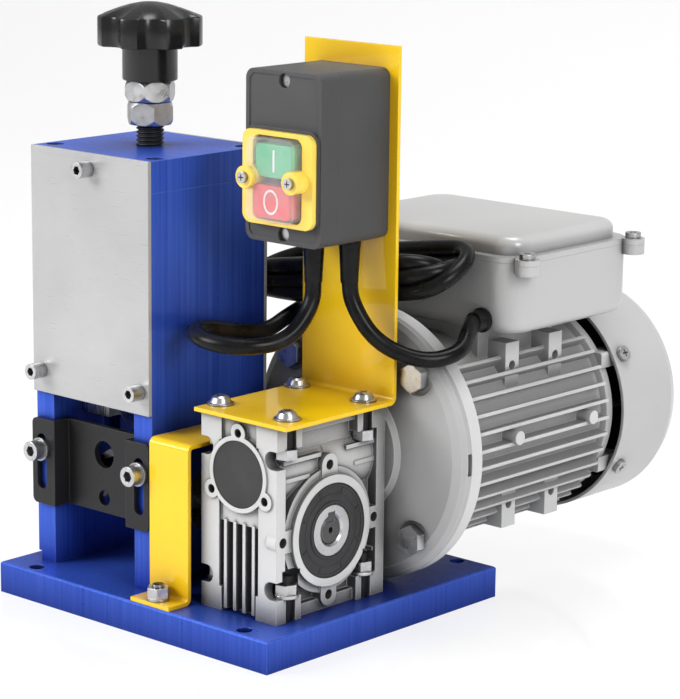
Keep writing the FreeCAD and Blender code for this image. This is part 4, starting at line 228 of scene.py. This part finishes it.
def grey(level, blue=0.0):
    """A neutral colour, its last channel raised a little where it is bluish."""
    return (level, level, level + blue)


def brushed_blue():
    """Anodised blue plate, milled on its edges, with brushed faces, painted shade in its hollows and a
    painted highlight on its edges.
    """
    made = Finish("blue_anodised", (0.035, 0.075, 0.48), 0.33, metallic=0.4, specular_ior_level=0.15)
    streaks = made.noise(1400.0, 4.0, (0.03, 1.0, 1.0), 0.6)
    cutter = made.noise(520.0, 3.0, (1.0, 1.0, 0.01), 0.55)
    cloud = made.noise(9.0)
    soft = made.soft_edge(0.0006)
    shade = made.blend(made.spread(cloud * 0.5 + cutter * 0.5, 0.35, 0.65), (0.024, 0.072, 0.47),
                       (0.060, 0.138, 0.64))
    open_shade = made.blend(made.openness(0.03), (0.006, 0.018, 0.16), shade)
    made.paint(open_shade, soft, 0.6, (0.14, 0.22, 0.74))
    made.vary_roughness(streaks + cutter, 0.27, 0.42, (0.7, 1.3))
    made.relief(streaks * 0.4 + cutter * 0.6, 0.00022, 0.6, soft)
    return made


def brushed_cover():
    """Bare steel sheet with fine lines across it."""
    made = Finish("brushed_cover_steel", grey(0.56, 0.005), 0.36, metallic=0.45)
    lines = made.noise(1600.0, 4.0, (0.02, 1.0, 1.0), 0.65)
    made.paint(made.mottle(made.noise(14.0), grey(0.40, 0.005), grey(0.48, 0.005)))
    made.vary_roughness(lines, 0.26, 0.44)
    made.relief(lines, 0.00010, 0.5, made.soft_edge(0.0004))
    return made


def yellow_gloss():
    """Yellow gloss paint on bent sheet, with a faint orange peel, painted shade in its hollows and a painted
    highlight on its edges.
    """
    made = Finish("yellow_gloss_paint", (0.86, 0.55, 0.002), 0.36, coat_weight=0.55, coat_roughness=0.05,
                  specular_ior_level=0.25)
    cloud = made.noise(12.0, 2.0)
    soft = made.soft_edge(0.0007)
    shade = made.mottle(cloud, (0.83, 0.515, 0.001), (0.89, 0.585, 0.003))
    open_shade = made.blend(made.openness(0.02), (0.52, 0.27, 0.001), shade)
    made.paint(open_shade, soft, 0.35, (0.95, 0.72, 0.10))
    made.vary_roughness(cloud, 0.32, 0.42)
    made.relief(made.noise(520.0, 2.0), 0.00012, 0.35, soft)
    return made


def sprayed_casting(name, hollow_painted_shade, tone=1.0):
    """Light grey paint on a die casting, a little grainy, with painted shade in the hollows and a painted
    highlight on its edges.
    """
    made = Finish(name, grey(0.55 * tone), 0.48, specular_ior_level=0.5)
    grain = made.noise(900.0)
    pits = made.noise(160.0, 2.0)
    soft = made.soft_edge(0.0008)
    shade = made.mottle(made.noise(16.0), grey(0.52 * tone), grey(0.61 * tone))
    open_shade = made.blend(made.openness(0.020, 0.5, 1.0), grey(hollow_painted_shade), shade)
    made.paint(open_shade, soft, 0.5, grey(0.70))
    made.vary_roughness(grain, 0.40, 0.54)
    made.relief(grain * 0.4 + pits * 0.6, 0.00030, 0.45, soft)
    return made


def satin_box():
    """Light grey satin paint on the smooth terminal box and fan cowl, with painted shade in its hollows."""
    made = Finish("grey_satin_paint", grey(0.50), 0.30, coat_weight=0.5, coat_roughness=0.1)
    cloud = made.noise(10.0, 2.0)
    shade = made.mottle(cloud, grey(0.44), grey(0.49))
    made.paint(made.blend(made.openness(0.04), grey(0.16), shade))
    made.vary_roughness(cloud, 0.26, 0.35, (0.2, 0.8))
    made.set("Normal", made.soft_edge(0.0008))
    return made


def machined_steel():
    """Turned and ground steel."""
    made = Finish("machined_steel", grey(0.55, 0.01), 0.28, metallic=1.0)
    lines = made.noise(1500.0, 3.0, (1.0, 0.05, 0.05))
    made.paint(made.mottle(lines, grey(0.48, 0.01), grey(0.62, 0.01)))
    made.vary_roughness(lines, 0.22, 0.38)
    made.relief(lines, 0.00006, 0.4, made.soft_edge(0.0004))
    return made


def bright_zinc():
    """Bright zinc on nuts, washers and screws, with painted shade in their hollows. The shanks through the
    gearbox's corners are black.
    """
    shank_radius, shank_top = 3.3 * MM, 112.8 * MM
    made = Finish("bright_zinc", grey(0.66, 0.01), 0.24, metallic=0.95)
    cloud = made.noise(220.0)
    place = made.place()
    x, y, z = [made.node("ShaderNodeSeparateXYZ", None, {0: place}, out=axis) for axis in range(3)]
    off_x = made.math("ABSOLUTE", x - GEAR_X * MM) - BOLT_X * MM
    off_y = made.math("ABSOLUTE", y - DRIVE_Y * MM) - BOLT_Y * MM
    shank = (off_x * off_x + off_y * off_y < shank_radius ** 2) * (z < shank_top)
    plate = made.mottle(cloud, grey(0.44, 0.01), grey(0.58, 0.01))
    open_plate = made.blend(made.openness(0.004), grey(0.14), plate)
    made.paint(made.blend(shank, open_plate, grey(0.025, 0.001)))
    made.set("Roughness", made.spread(cloud, *NOISE_SPAN, 0.25, 0.38) + shank * 0.1)
    made.relief(cloud, 0.00005, 0.4, made.soft_edge(0.0005))
    return made


def blackened_steel():
    """Blackened steel, oily, with a painted highlight on its edges."""
    made = Finish("blackened_steel", grey(0.015, 0.001), 0.38, metallic=0.1, specular_ior_level=0.3)
    grain = made.noise(700.0)
    soft = made.soft_edge(0.0005)
    made.paint(grey(0.014, 0.001), soft, 0.5, grey(0.09, 0.002))
    made.vary_roughness(grain, 0.32, 0.52)
    made.relief(grain, 0.00010, 0.4, soft)
    return made


def grained_plastic():
    """Dark grey moulded plastic with a fine spark-eroded grain and a painted highlight on its edges."""
    made = Finish("dark_grained_plastic", grey(0.055, 0.002), 0.45, specular_ior_level=0.35)
    grain = made.noise(1800.0, roughness=0.7)
    soft = made.soft_edge(0.0006)
    shade = made.mottle(made.noise(20.0, 2.0), grey(0.048, 0.002), grey(0.062, 0.002))
    made.paint(shade, soft, 0.35, grey(0.12, 0.004))
    made.vary_roughness(grain, 0.42, 0.58)
    made.relief(grain, 0.00012, 0.5, soft)
    return made


def gloss_knob():
    """Black glossy phenolic knob."""
    made = Finish("black_gloss_knob", grey(0.009, 0.001), 0.24, coat_weight=0.15, coat_roughness=0.12,
                  specular_ior_level=0.3)
    flow = made.noise(45.0, 2.0)
    made.vary_roughness(flow, 0.20, 0.30)
    made.relief(flow, 0.00025, 0.3)
    return made


def tinted_plastic(name, low, high):
    """Satin moulded plastic in one colour, with the faint clouds of its moulding."""
    made = Finish(name, tuple((a + b) / 2 for a, b in zip(low, high)), 0.34, coat_weight=0.2,
                  coat_roughness=0.2)
    grain = made.noise(1500.0, 2.0)
    made.paint(made.mottle(made.noise(60.0), low, high))
    made.vary_roughness(grain, 0.28, 0.40)
    made.relief(grain, 0.00006, 0.4, made.soft_edge(0.0006))
    return made


def hazy_boot():
    """Soft translucent boot over the two buttons, milky where it is thick."""
    made = Finish("hazy_clear_boot", (0.80, 0.80, 0.78), 0.28, coat_weight=0.5, coat_roughness=0.12)
    flow = made.noise(120.0, 2.0)
    soft = made.soft_edge(0.0012)
    made.set("Alpha", made.spread(flow, *NOISE_SPAN, 0.10, 0.16) + made.edge_mask(soft) * 0.22)
    made.vary_roughness(flow, 0.22, 0.34)
    made.relief(flow, 0.0003, 0.3, soft)
    return made


def cord_jacket():
    """Black cord jacket with a dull shine and faint scuffs."""
    made = Finish("black_cord_jacket", grey(0.006), 0.25, specular_ior_level=0.14)
    scuff = made.noise(90.0, 4.0)
    made.paint(made.blend(made.spread(scuff, 0.45, 0.8), grey(0.005), grey(0.014, 0.001)))
    made.vary_roughness(scuff, 0.22, 0.36)
    made.relief(made.noise(1600.0, 2.0), 0.00005, 0.4)
    return made


def seal_rubber():
    """Dark grey rubber of the shaft seals and the gearbox's end cap."""
    made = Finish("dark_seal_rubber", grey(0.032, 0.001), 0.5, specular_ior_level=0.35)
    grain = made.noise(1100.0)
    made.paint(made.mottle(made.noise(50.0), grey(0.026, 0.001), grey(0.040, 0.002)))
    made.vary_roughness(grain, 0.46, 0.64)
    made.relief(grain, 0.00012, 0.5, made.soft_edge(0.0005))
    return made


def dark_shaft():
    """Dark oiled steel of the drive shaft, turned on its end, with a painted highlight on its edges."""
    made = Finish("dark_oiled_steel", grey(0.10, 0.002), 0.32, metallic=0.7)
    lines = made.noise(1300.0, 3.0, (0.05, 1.0, 1.0))
    soft = made.soft_edge(0.0005)
    made.paint(grey(0.09, 0.002), soft, 0.6, grey(0.35, 0.01))
    made.vary_roughness(lines, 0.26, 0.42)
    made.relief(lines, 0.00006, 0.4, soft)
    return made


def wound_copper():
    """Enamelled copper winding, its wires side by side."""
    made = Finish("wound_copper", (0.55, 0.24, 0.10), 0.35, metallic=0.8)
    wires = made.node("ShaderNodeTexWave", {"bands_direction": "Y"}, {
        "Vector": made.place(), "Scale": 260.0, "Distortion": 1.5})
    made.paint(made.blend(wires, (0.42, 0.17, 0.07), (0.66, 0.31, 0.14)))
    made.relief(wires, 0.0003, 0.6)
    return made


def cut_bronze():
    """Cut bronze of the worm wheel."""
    made = Finish("cut_bronze", (0.58, 0.38, 0.16), 0.32, metallic=1.0)
    lines = made.noise(900.0, 3.0, (0.1, 1.0, 1.0))
    made.paint(made.mottle(lines, (0.50, 0.31, 0.12), (0.66, 0.45, 0.21)))
    made.vary_roughness(lines, 0.26, 0.42)
    made.relief(lines, 0.00006, 0.4)
    return made


FINISHES = {
    "blue_metal": brushed_blue(), "cover_steel": brushed_cover(), "yellow_paint": yellow_gloss(),
    "grey_cast": sprayed_casting("grey_gearbox_casting", 0.055), "grey_box": satin_box(),
    "steel": machined_steel(), "zinc": bright_zinc(), "black_steel": blackened_steel(),
    "black_plastic": grained_plastic(), "knob_plastic": gloss_knob(),
    "yellow_plastic": tinted_plastic("yellow_satin_plastic", (0.84, 0.58, 0.07), (0.90, 0.66, 0.12)),
    "green_plastic": tinted_plastic("green_button_plastic", (0.03, 0.40, 0.19), (0.05, 0.48, 0.25)),
    "red_plastic": tinted_plastic("red_button_plastic", (0.64, 0.025, 0.045), (0.72, 0.045, 0.07)),
    "clear_film": hazy_boot(), "black_rubber": cord_jacket(), "copper": wound_copper(),
    "bronze": cut_bronze()}
SEAL = seal_rubber()
SHAFT = dark_shaft()
MOTOR = sprayed_casting("grey_motor_casting", 0.26)
SHADED_FLANGE = sprayed_casting("grey_flange_casting_painted_shade", 0.10, 0.68)
MARK = tinted_plastic("white_mark_ink", grey(0.80), grey(0.86))
# Nodes that look different from the rest of their slot. The input flange is painted darker as painted shade
# from the gearbox.
OWN_FINISHES = {"output_seals": SEAL, "worm_end_cap": SEAL, "drive_shaft": SHAFT, "motor_frame": MOTOR,
                "motor_end_shields": MOTOR, "input_flange": SHADED_FLANGE}

for part in frame["record"]["subparts"]:
    finish = OWN_FINISHES.get(part["node"], FINISHES[part["material_slot"]])
    nodes[part["node"]].data.materials.clear()
    nodes[part["node"]].data.materials.append(finish.material)


# ---- Mesh makers

def settle(piece, body, slot, finish=None):
    """Give a piece its finish and let it ride on a body."""
    piece.data.materials.clear()
    piece.data.materials.append((finish or FINISHES[slot]).material)
    bpy.context.scene.collection.objects.link(piece)
    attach(piece, body)
    return piece


def mesh_of(name, points, faces, smooth=True, crease=35.0):
    """A mesh piece from points in millimetres, with its sharp corners kept sharp."""
    mesh = bpy.data.meshes.new(name)
    mesh.from_pydata([tuple(c * MM for c in point) for point in points], [], faces)
    mesh.update()
    if smooth:
        mesh.polygons.foreach_set("use_smooth", [True] * len(mesh.polygons))
        mesh.set_sharp_from_angle(angle=math.radians(crease))
    return bpy.data.objects.new(name, mesh)


def band(count, low, high):
    """Faces between two rings of points, each known by the index of its first point."""
    return [(low + index, low + (index + 1) % count, high + (index + 1) % count, high + index)
            for index in range(count)]


def sides(rows):
    """Points of rings that all have the same count, and the faces from each ring to the next."""
    count = len(rows[0])
    points = [point for row in rows for point in row]
    faces = [face for low in range(0, len(points) - count, count) for face in band(count, low, low + count)]
    return points, faces


def skin(rows):
    """Points and faces of a skin over rings, closed by a cap at each end."""
    points, faces = sides(rows)
    count = len(rows[0])
    caps = [tuple(reversed(range(count))), tuple(range(len(points) - count, len(points)))]
    return points, faces + caps


def hoop(rows):
    """Points and faces of a skin over rings whose last joins the first."""
    points, faces = sides(rows)
    count = len(rows[0])
    return points, faces + band(count, len(points) - count, 0)


def joined(skins):
    """Several skins as one list of points and faces."""
    points, faces = [], []
    for more_points, more_faces in skins:
        start = len(points)
        points += more_points
        faces += [tuple(start + index for index in face) for face in more_faces]
    return points, faces


def frame_on(axis):
    """An axis and two directions across it, so that turning from one to the other follows the axis."""
    axis = Vector(axis).normalized()
    side = Vector((0, 0, 1)) if abs(axis.z) < 0.9 else Vector((1, 0, 0))
    first = side.cross(axis).normalized()
    return axis, first, axis.cross(first)


def turned(centre, axis, profile, count=48):
    """A turned skin from pairs of radius and height along an axis."""
    axis, first, second = frame_on(axis)
    centre = Vector(centre)
    rows = []
    for radius, height in profile:
        radius = max(radius, 0.01)
        rows.append([centre + axis * height + first * (radius * math.cos(step * math.tau / count))
                     + second * (radius * math.sin(step * math.tau / count)) for step in range(count)])
    return skin(rows)


def prism(centre, axis, outline, low, high):
    """A straight skin of an outline of pairs, across an axis, between two heights."""
    axis, first, second = frame_on(axis)
    centre = Vector(centre)
    return skin([[centre + axis * height + first * x + second * y for x, y in outline]
                 for height in (low, high)])


def box_outline(x, low, high):
    """The outline of a rectangle, from -x to x and from low to high."""
    return [(-x, low), (x, low), (x, high), (-x, high)]


# ---- Cords

CORD = 0.008
PLUG_AT = (-55, 70, 25)
MAINS_START = [
    (0.0620, -0.0203, 0.1875), (0.0620, -0.0203, 0.1760), (0.0620, -0.0205, 0.1630),
    (0.0610, -0.0365, 0.1471), (0.0505, -0.0580, 0.1455), (0.0305, -0.0640, 0.1470),
    (0.0135, -0.0545, 0.1485), (0.0052, -0.0355, 0.1460), (0.0082, -0.0170, 0.1415),
    (0.0096, 0.0020, 0.1385), (0.0105, 0.0190, 0.1455), (0.0160, 0.0360, 0.1530),
    (0.0270, 0.0500, 0.1590)]
MAINS_END = [
    (-0.0200, 0.0200, 0.1560), (-0.0400, 0.0270, 0.1550), (-0.0545, 0.0360, 0.1430),
    (-0.0580, 0.0380, 0.1240), (-0.0570, 0.0380, 0.0970), (-0.0560, 0.0375, 0.0680),
    (-0.0565, 0.0390, 0.0440), (-0.0550, 0.0500, 0.0250), (-0.0550, 0.0700, 0.0250)]
MOTOR_LEAD = [
    (0.0745, -0.0085, 0.1875), (0.0745, -0.0085, 0.1760), (0.0755, -0.0080, 0.1640),
    (0.0870, -0.0030, 0.1455), (0.1055, 0.0100, 0.1365), (0.1145, 0.0285, 0.1395),
    (0.1070, 0.0430, 0.1480), (0.1010, 0.0532, 0.1494)]


def smooth_cord(name, route, diameter):
    """A round cord whose smooth line follows given points."""
    curve = bpy.data.curves.new(name, "CURVE")
    curve.dimensions = "3D"
    curve.bevel_depth = diameter / 2
    curve.bevel_resolution = 5
    curve.use_fill_caps = True
    line = curve.splines.new("NURBS")
    line.points.add(len(route) - 1)
    for point, place in zip(line.points, route):
        point.co = (*place, 1.0)
    line.order_u = 3
    line.use_endpoint_u = True
    line.resolution_u = 10
    return bpy.data.objects.new(name, curve)


def coil_turns():
    """The mains cord's loose turns on top of the motor's flange; each leans and reaches differently."""
    centre, tilt = Vector((0.038, 0.0365, 0.170)), math.radians(8.0)
    along = Vector((math.cos(tilt), 0.0, math.sin(tilt)))
    above = Vector((-math.sin(tilt), 0.0, math.cos(tilt)))
    first_length, more_length = 0.055, 0.0064
    first_lean, more_lean = -0.0085, 0.0078
    half_width = 0.0175
    bends = [math.radians(step * 30.0) for step in range(7)]
    # The stations of one turn: how far along the straight part, how far round the end, which side.
    stations = [(0.0, 0.0, 1.0), (0.6, 0.0, 1.0)]
    stations += [(1.0, math.sin(bend), math.cos(bend)) for bend in bends]
    stations += [(0.4, 0.0, -1.0), (-0.4, 0.0, -1.0)]
    stations += [(-1.0, -math.sin(bend), -math.cos(bend)) for bend in bends]
    stations += [(-0.6, 0.0, 1.0)]
    whole_turns, last_stations = 2, 11
    points = []
    for step in range(whole_turns * len(stations) + last_stations):
        straight, bulge, side = stations[step % len(stations)]
        turn = step / len(stations)
        length = first_length + more_length * turn
        lean = first_lean + more_lean * turn
        x = straight * (length - half_width) + bulge * half_width
        points.append(centre + along * x + Vector((0.0, side * half_width, 0.0)) + above * (side * lean))
    return points


def make_plug():
    """The mains plug, with grip rings on its body and two round pins."""
    x, y, z = PLUG_AT
    skins = [turned(PLUG_AT, (0, 1, 0), [
        (0.01, 0), (5.2, 0), (6.0, 2), (6.2, 6), (8.4, 11), (8.8, 13), (8.8, 23), (8.0, 26), (0.01, 26)])]
    for height in (13.6, 16.0, 18.4, 20.8):
        skins.append(turned(PLUG_AT, (0, 1, 0), [
            (8.2, height), (9.2, height + 0.4), (9.2, height + 1.2), (8.2, height + 1.6)]))
    for side in (-4.5, 4.5):
        skins.append(turned((x + side, y + 26, z), (0, 1, 0), [
            (0.01, -1), (2.0, -1), (2.0, 16), (1.4, 18), (0.01, 18.5)], 24))
    plug = settle(mesh_of("mains_plug", *joined(skins)), "frame", "black_rubber")
    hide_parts("plug")
    return plug


def make_sleeves():
    """Sleeves round both cords below the switch box, and the motor lead's gland."""
    sleeves = [turned((x, y, 197), (0, 0, -1), [
        (0.01, 0), (4.6, 0), (5.4, 2.5), (5.4, 4.5), (5.1, 6.5), (4.8, 12), (4.5, 18), (4.35, 22.5),
        (4.1, 23), (0.01, 23)]) for x, y in ((62.0, -20.3), (74.5, -8.5))]
    sleeves.append(turned((101, 64, 149.5), (0, -1, 0), [
        (0.01, 0), (4.4, 0), (4.4, 3.2), (6.2, 3.2), (6.2, 4.6), (5.2, 5.6), (4.8, 10.5), (0.01, 10.5)]))
    sleeve = settle(mesh_of("cord_sleeves", *joined(sleeves)), "frame", "black_rubber")
    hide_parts("cord_grommets")


def lay_cords():
    """The mains cord with its plug, the motor lead, and their sleeves."""
    plug = make_plug()
    route = MAINS_START + coil_turns() + MAINS_END
    mains = settle(smooth_cord("mains_cord", route, CORD), "frame", "black_rubber")
    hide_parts("mains_lead", "mains_coil", "mains_tail")
    motor = settle(smooth_cord("motor_cord", MOTOR_LEAD, CORD), "frame", "black_rubber")
    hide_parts("motor_lead")
    make_sleeves()


lay_cords()


# ---- Adjusting screw, knob, painted shade in the fan's gap, and studs

LOBES = 7
KNOB_REACH = 26.0  # the full radius of its lobes
DIP_RADIUS, DIP_AT = 8.5, 30.3  # the round dips between the lobes, and how far out their centres lie
DIP_TURN = math.radians(10)
LOBE_CORNER = 40.0  # the greater, the sharper the lobes' corners


def threaded(x, y, low, high, radius, pitch, count=36, chamfer=0.8):
    """A screw thread standing along Z, right-handed, from one height to another."""
    depth = pitch * 0.6
    crest = 1.35  # above 1, the ridges are cut off flat
    levels = int((high - low) / pitch * 8)
    rows = []
    for level in range(levels + 1):
        z = low + (high - low) * level / levels
        limit = radius - max(0.0, chamfer - (high - z))
        ring = []
        for step in range(count):
            phase = ((z - low) / pitch - step / count) % 1.0
            ridge = 1.0 - abs(phase - 0.5) * 2.0
            reach = min(radius - depth + depth * min(1.0, ridge * crest), limit)
            angle = step * math.tau / count
            ring.append(Vector((x + reach * math.cos(angle), y + reach * math.sin(angle), z)))
        rows.append(ring)
    return skin(rows)


def make_adjusting_screw():
    """The adjusting screw, threaded above its collar."""
    x, y = TOWER_AXIS
    collar = turned((x, y, 150.3), (0, 0, 1), [
        (0.01, 0), (9.9, 0), (10.5, 0.6), (10.5, 3.8), (9.9, 4.4), (6.8, 4.4), (6.8, 12.7), (0.01, 12.7)])
    thread = threaded(x, y, 162.5, 275.8, 6.95, 2.0)
    screw = settle(mesh_of("threaded_adjusting_screw", *joined([collar, thread]), crease=50.0),
                   "adjuster", "black_steel")
    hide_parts("adjusting_screw")


def lobe_reach(angle):
    """How far out the lobed knob reaches at an angle, as a share of its full radius."""
    pitch = math.tau / LOBES
    off = (angle - DIP_TURN) % pitch
    off = min(off, pitch - off)
    across = DIP_AT * math.sin(off)
    if across >= DIP_RADIUS:
        return 1.0
    dip = (DIP_AT * math.cos(off) - math.sqrt(DIP_RADIUS ** 2 - across ** 2)) / KNOB_REACH
    return -math.log(math.exp(-LOBE_CORNER) + math.exp(-LOBE_CORNER * dip)) / LOBE_CORNER


def make_star_knob():
    """The seven-lobed knob, with upright lobes on a hub and a low domed top."""
    x, y = TOWER_AXIS
    count = LOBES * 24
    # Height, radius, and how much of the lobes' shape the ring takes.
    profile = [
        (262.7, 13.0, 0.0), (263.0, 13.5, 0.0), (263.8, 13.7, 0.0), (278.4, 13.7, 0.0),
        (279.6, 14.2, 0.0), (279.9, 15.0, 0.0), (279.9, 25.0, 1.0), (280.1, 25.6, 1.0),
        (280.8, KNOB_REACH, 1.0), (293.6, KNOB_REACH, 1.0), (294.5, 25.7, 1.0), (294.9, 24.9, 1.0),
        (295.5, 23.4, 0.9), (296.8, 20.0, 0.6), (298.4, 15.5, 0.3), (300.0, 10.0, 0.1),
        (301.0, 5.0, 0.0), (301.3, 0.02, 0.0)]
    rows = []
    for z, reach, lobed in profile:
        ring = []
        for step in range(count):
            angle = step * math.tau / count
            radius = reach * (1.0 - lobed * (1.0 - lobe_reach(angle)))
            ring.append(Vector((x + radius * math.cos(angle), y + radius * math.sin(angle), z)))
        rows.append(ring)
    knob = settle(mesh_of("star_knob", *skin(rows), crease=40.0), "adjuster", "knob_plastic")
    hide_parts("knob")


def make_fan_gap_shade():
    """A dark disc inside the cowl's slotted end, painted shade that darkens the gap between the motor's frame
    and its cowl.
    """
    screen = turned((GEAR_X, 211.3, WORM_Z), (0, 1, 0), [(0.01, 0), (51.5, 0), (51.5, 0.8), (0.01, 0.8)], 96)
    settle(mesh_of("fan_gap_painted_shade", *screen), "frame", "black_plastic", FINISHES["black_steel"])


def thread_base_studs():
    """Threads on the ends of the studs that stand above their nuts."""
    places = [(x, y, 34.4, 38.7) for x, y in BOLTS]
    places += [(14.5, -78.2, 24.4, 26.2), (9.0, 20.4, 24.4, 26.2)]
    skins = [threaded(x, y, low, high, 3.06, 1.0, 20, 0.5) for x, y, low, high in places]
    settle(mesh_of("stud_threads", *joined(skins), crease=50.0), "frame", "black_steel")


make_adjusting_screw()
make_star_knob()
make_fan_gap_shade()
thread_base_studs()


# ---- Marks, recesses and ridges

PROUD = 0.04  # how far a recess's dark shape, painted shade in place of a cut hole, stands out of its screw's head


def cross_outline(reach, width):
    """The plus-shaped outline of a driver's recess."""
    half = width / 2
    return [(reach, -half), (reach, half), (half, half), (half, reach), (-half, reach), (-half, half),
            (-reach, half), (-reach, -half), (-half, -half), (-half, -reach), (half, -reach), (half, -half)]


def make_cross_recesses():
    """Cross recesses in the bracket's, lid's, cowl's and switch's screws, drawn as dark crosses of painted
    shade.
    """
    bracket_top, lid_top, lid_x, lid_ends = 119.4, 184.8, 68, (66.8, 153.8)
    cowl_y, cowl_reach = 170.0, 59.8 + 2.6
    skins = [prism((x, y, bracket_top), (0, 0, 1), cross_outline(2.3, 0.9), -1.2, PROUD) for x, y in BOLTS]
    for side in (-1, 1):
        for y in lid_ends:
            skins.append(prism((GEAR_X + side * lid_x, y, lid_top), (0, 0, 1),
                               cross_outline(2.0, 0.8), -1.0, PROUD))
    for angle in (-30, 30, 150, 210):
        out = Vector((math.cos(math.radians(angle)), 0.0, math.sin(math.radians(angle))))
        middle = Vector((GEAR_X, cowl_y, WORM_Z)) + out * cowl_reach
        skins.append(prism(middle, out, cross_outline(2.0, 0.8), -1.0, PROUD))
    for x in (44.4, 74.0):
        skins.append(prism((x, -52.4, 226.2), (0, -1, 0), cross_outline(1.5, 0.6), -0.8, PROUD))
    settle(mesh_of("screw_recesses", *joined(skins), smooth=False), "frame", "black_steel")


def make_button_marks():
    """The bar on the start button and the ring on the stop button."""
    keys_x, count, narrow = 59.2, 40, 0.78
    bar = prism((keys_x, -45.6, 234.7), (0, -1, 0), box_outline(0.6, -5.2, 5.2), -0.2, 0.12)
    settle(mesh_of("start_mark", *bar, smooth=False), "start_key", "clear_film", MARK)
    rows = []
    for step in range(count):
        angle = step * math.tau / count
        rows.append([Vector((keys_x + reach * narrow * math.cos(angle), -47.5 + lift,
                             215.5 + reach * math.sin(angle)))
                     for reach, lift in ((4.9, 0.2), (6.0, 0.2), (6.0, -0.12), (4.9, -0.12))])
    settle(mesh_of("stop_mark", *hoop(rows), smooth=False), "stop_key", "clear_film", MARK)


def make_seal_ridges():
    """Three raised rings and eight ticks on the face of the output seal."""
    face_x, count, foot = 81.25, 64, -0.4
    middle = Vector((face_x, DRIVE_Y, OUTPUT_Z))
    skins = []
    for inner, outer, height in ((21.6, 23.0, 0.5), (17.6, 18.4, 0.35), (13.2, 14.6, 0.7)):
        rows = []
        for step in range(count):
            angle = step * math.tau / count
            out = Vector((0.0, math.cos(angle), math.sin(angle)))
            rows.append([middle + out * reach + Vector((lift, 0, 0)) for reach, lift in (
                (inner, foot), (inner, height * 0.7), (inner * 0.7 + outer * 0.3, height),
                (inner * 0.3 + outer * 0.7, height), (outer, height * 0.7), (outer, foot))])
        skins.append(hoop(rows))
    tick_middle = Vector((face_x - 0.05, DRIVE_Y, OUTPUT_Z))
    for step in range(8):
        angle = math.radians(22.5 + 45 * step)
        out = Vector((0.0, math.cos(angle), math.sin(angle)))
        skins.append(prism(tick_middle + out * 18.9, out, box_outline(0.6, -0.4, 0.45), 0.0, 2.4))
    settle(mesh_of("seal_ridges", *joined(skins)), "frame", "black_rubber", SEAL)


make_cross_recesses()
make_button_marks()
make_seal_ridges()


# ---- Floor, backdrop and lamps

def make_stage():
    """A white floor that runs up into a backdrop, seen as white behind the machine."""
    half_width, front, bend_start, bend, top, steps = 3000, -1600, 1200, 800, 2600, 12
    angles = [step * math.pi / 2 / steps for step in range(steps + 1)]
    profile = [(front, 0)]
    profile += [(bend_start + bend * math.sin(angle), bend - bend * math.cos(angle)) for angle in angles]
    profile += [(bend_start + bend, top)]
    points = [(x, y, z) for x in (-half_width, half_width) for y, z in profile]
    count = len(profile)
    faces = [(i, i + 1, count + i + 1, count + i) for i in range(count - 1)]
    floor = mesh_of("studio_floor", points, faces)
    paper = Finish("white_paper", grey(0.80), 0.8, specular_ior_level=0.1)
    seen = paper.node("ShaderNodeLightPath", out=0)
    glow = paper.node("ShaderNodeEmission", None, {"Color": WHITE, "Strength": 1.2})
    mirror = paper.node("ShaderNodeBsdfGlossy", None, {"Color": WHITE, "Roughness": 0.1})
    shine = paper.node("ShaderNodeMixShader", None, {0: 0.2, 1: glow, 2: mirror})
    lit = Tone(paper, paper.shader.outputs[0])
    mixed = paper.node("ShaderNodeMixShader", None, {0: seen * 0.8, 1: lit, 2: shine})
    paper.join(paper.tree.nodes["Material Output"].inputs["Surface"], mixed)
    floor.data.materials.append(paper.material)
    bpy.context.scene.collection.objects.link(floor)


def hang_lamp(name, place, aim, size, power):
    """A rectangular softbox that faces a point."""
    lamp = bpy.data.lights.new(name, "AREA")
    lamp.shape = "RECTANGLE"
    lamp.size, lamp.size_y = size
    lamp.energy = power
    held = bpy.data.objects.new(name, lamp)
    held.location = place
    held.rotation_euler = (Vector(aim) - Vector(place)).to_track_quat("-Z", "Y").to_euler()
    bpy.context.scene.collection.objects.link(held)


def light_room():
    """A room that lights the machine more weakly than it looks to the camera, and three softboxes."""
    world = bpy.data.worlds.new("pale_room")
    world.use_nodes = True
    room = Graph(world.node_tree)
    background = room.tree.nodes["Background"]
    seen = room.node("ShaderNodeLightPath", out=0)
    room.join(background.inputs["Color"], WHITE)
    room.join(background.inputs["Strength"], room.spread(seen, 0.0, 1.0, 0.36, 1.0))
    bpy.context.scene.world = world
    hang_lamp("front_left_softbox", (-0.9, -1.3, 1.0), (0.0, 0.0, 0.15), (0.8, 0.8), 28.0)
    hang_lamp("right_softbox", (1.7, -0.4, 0.9), (0.05, 0.03, 0.12), (0.6, 0.9), 19.0)
    hang_lamp("top_softbox", (0.1, 0.3, 1.7), (0.0, 0.0, 0.1), (1.0, 0.7), 16.0)


make_stage()
light_room()
bpy.context.scene.view_settings.view_transform = "Standard"
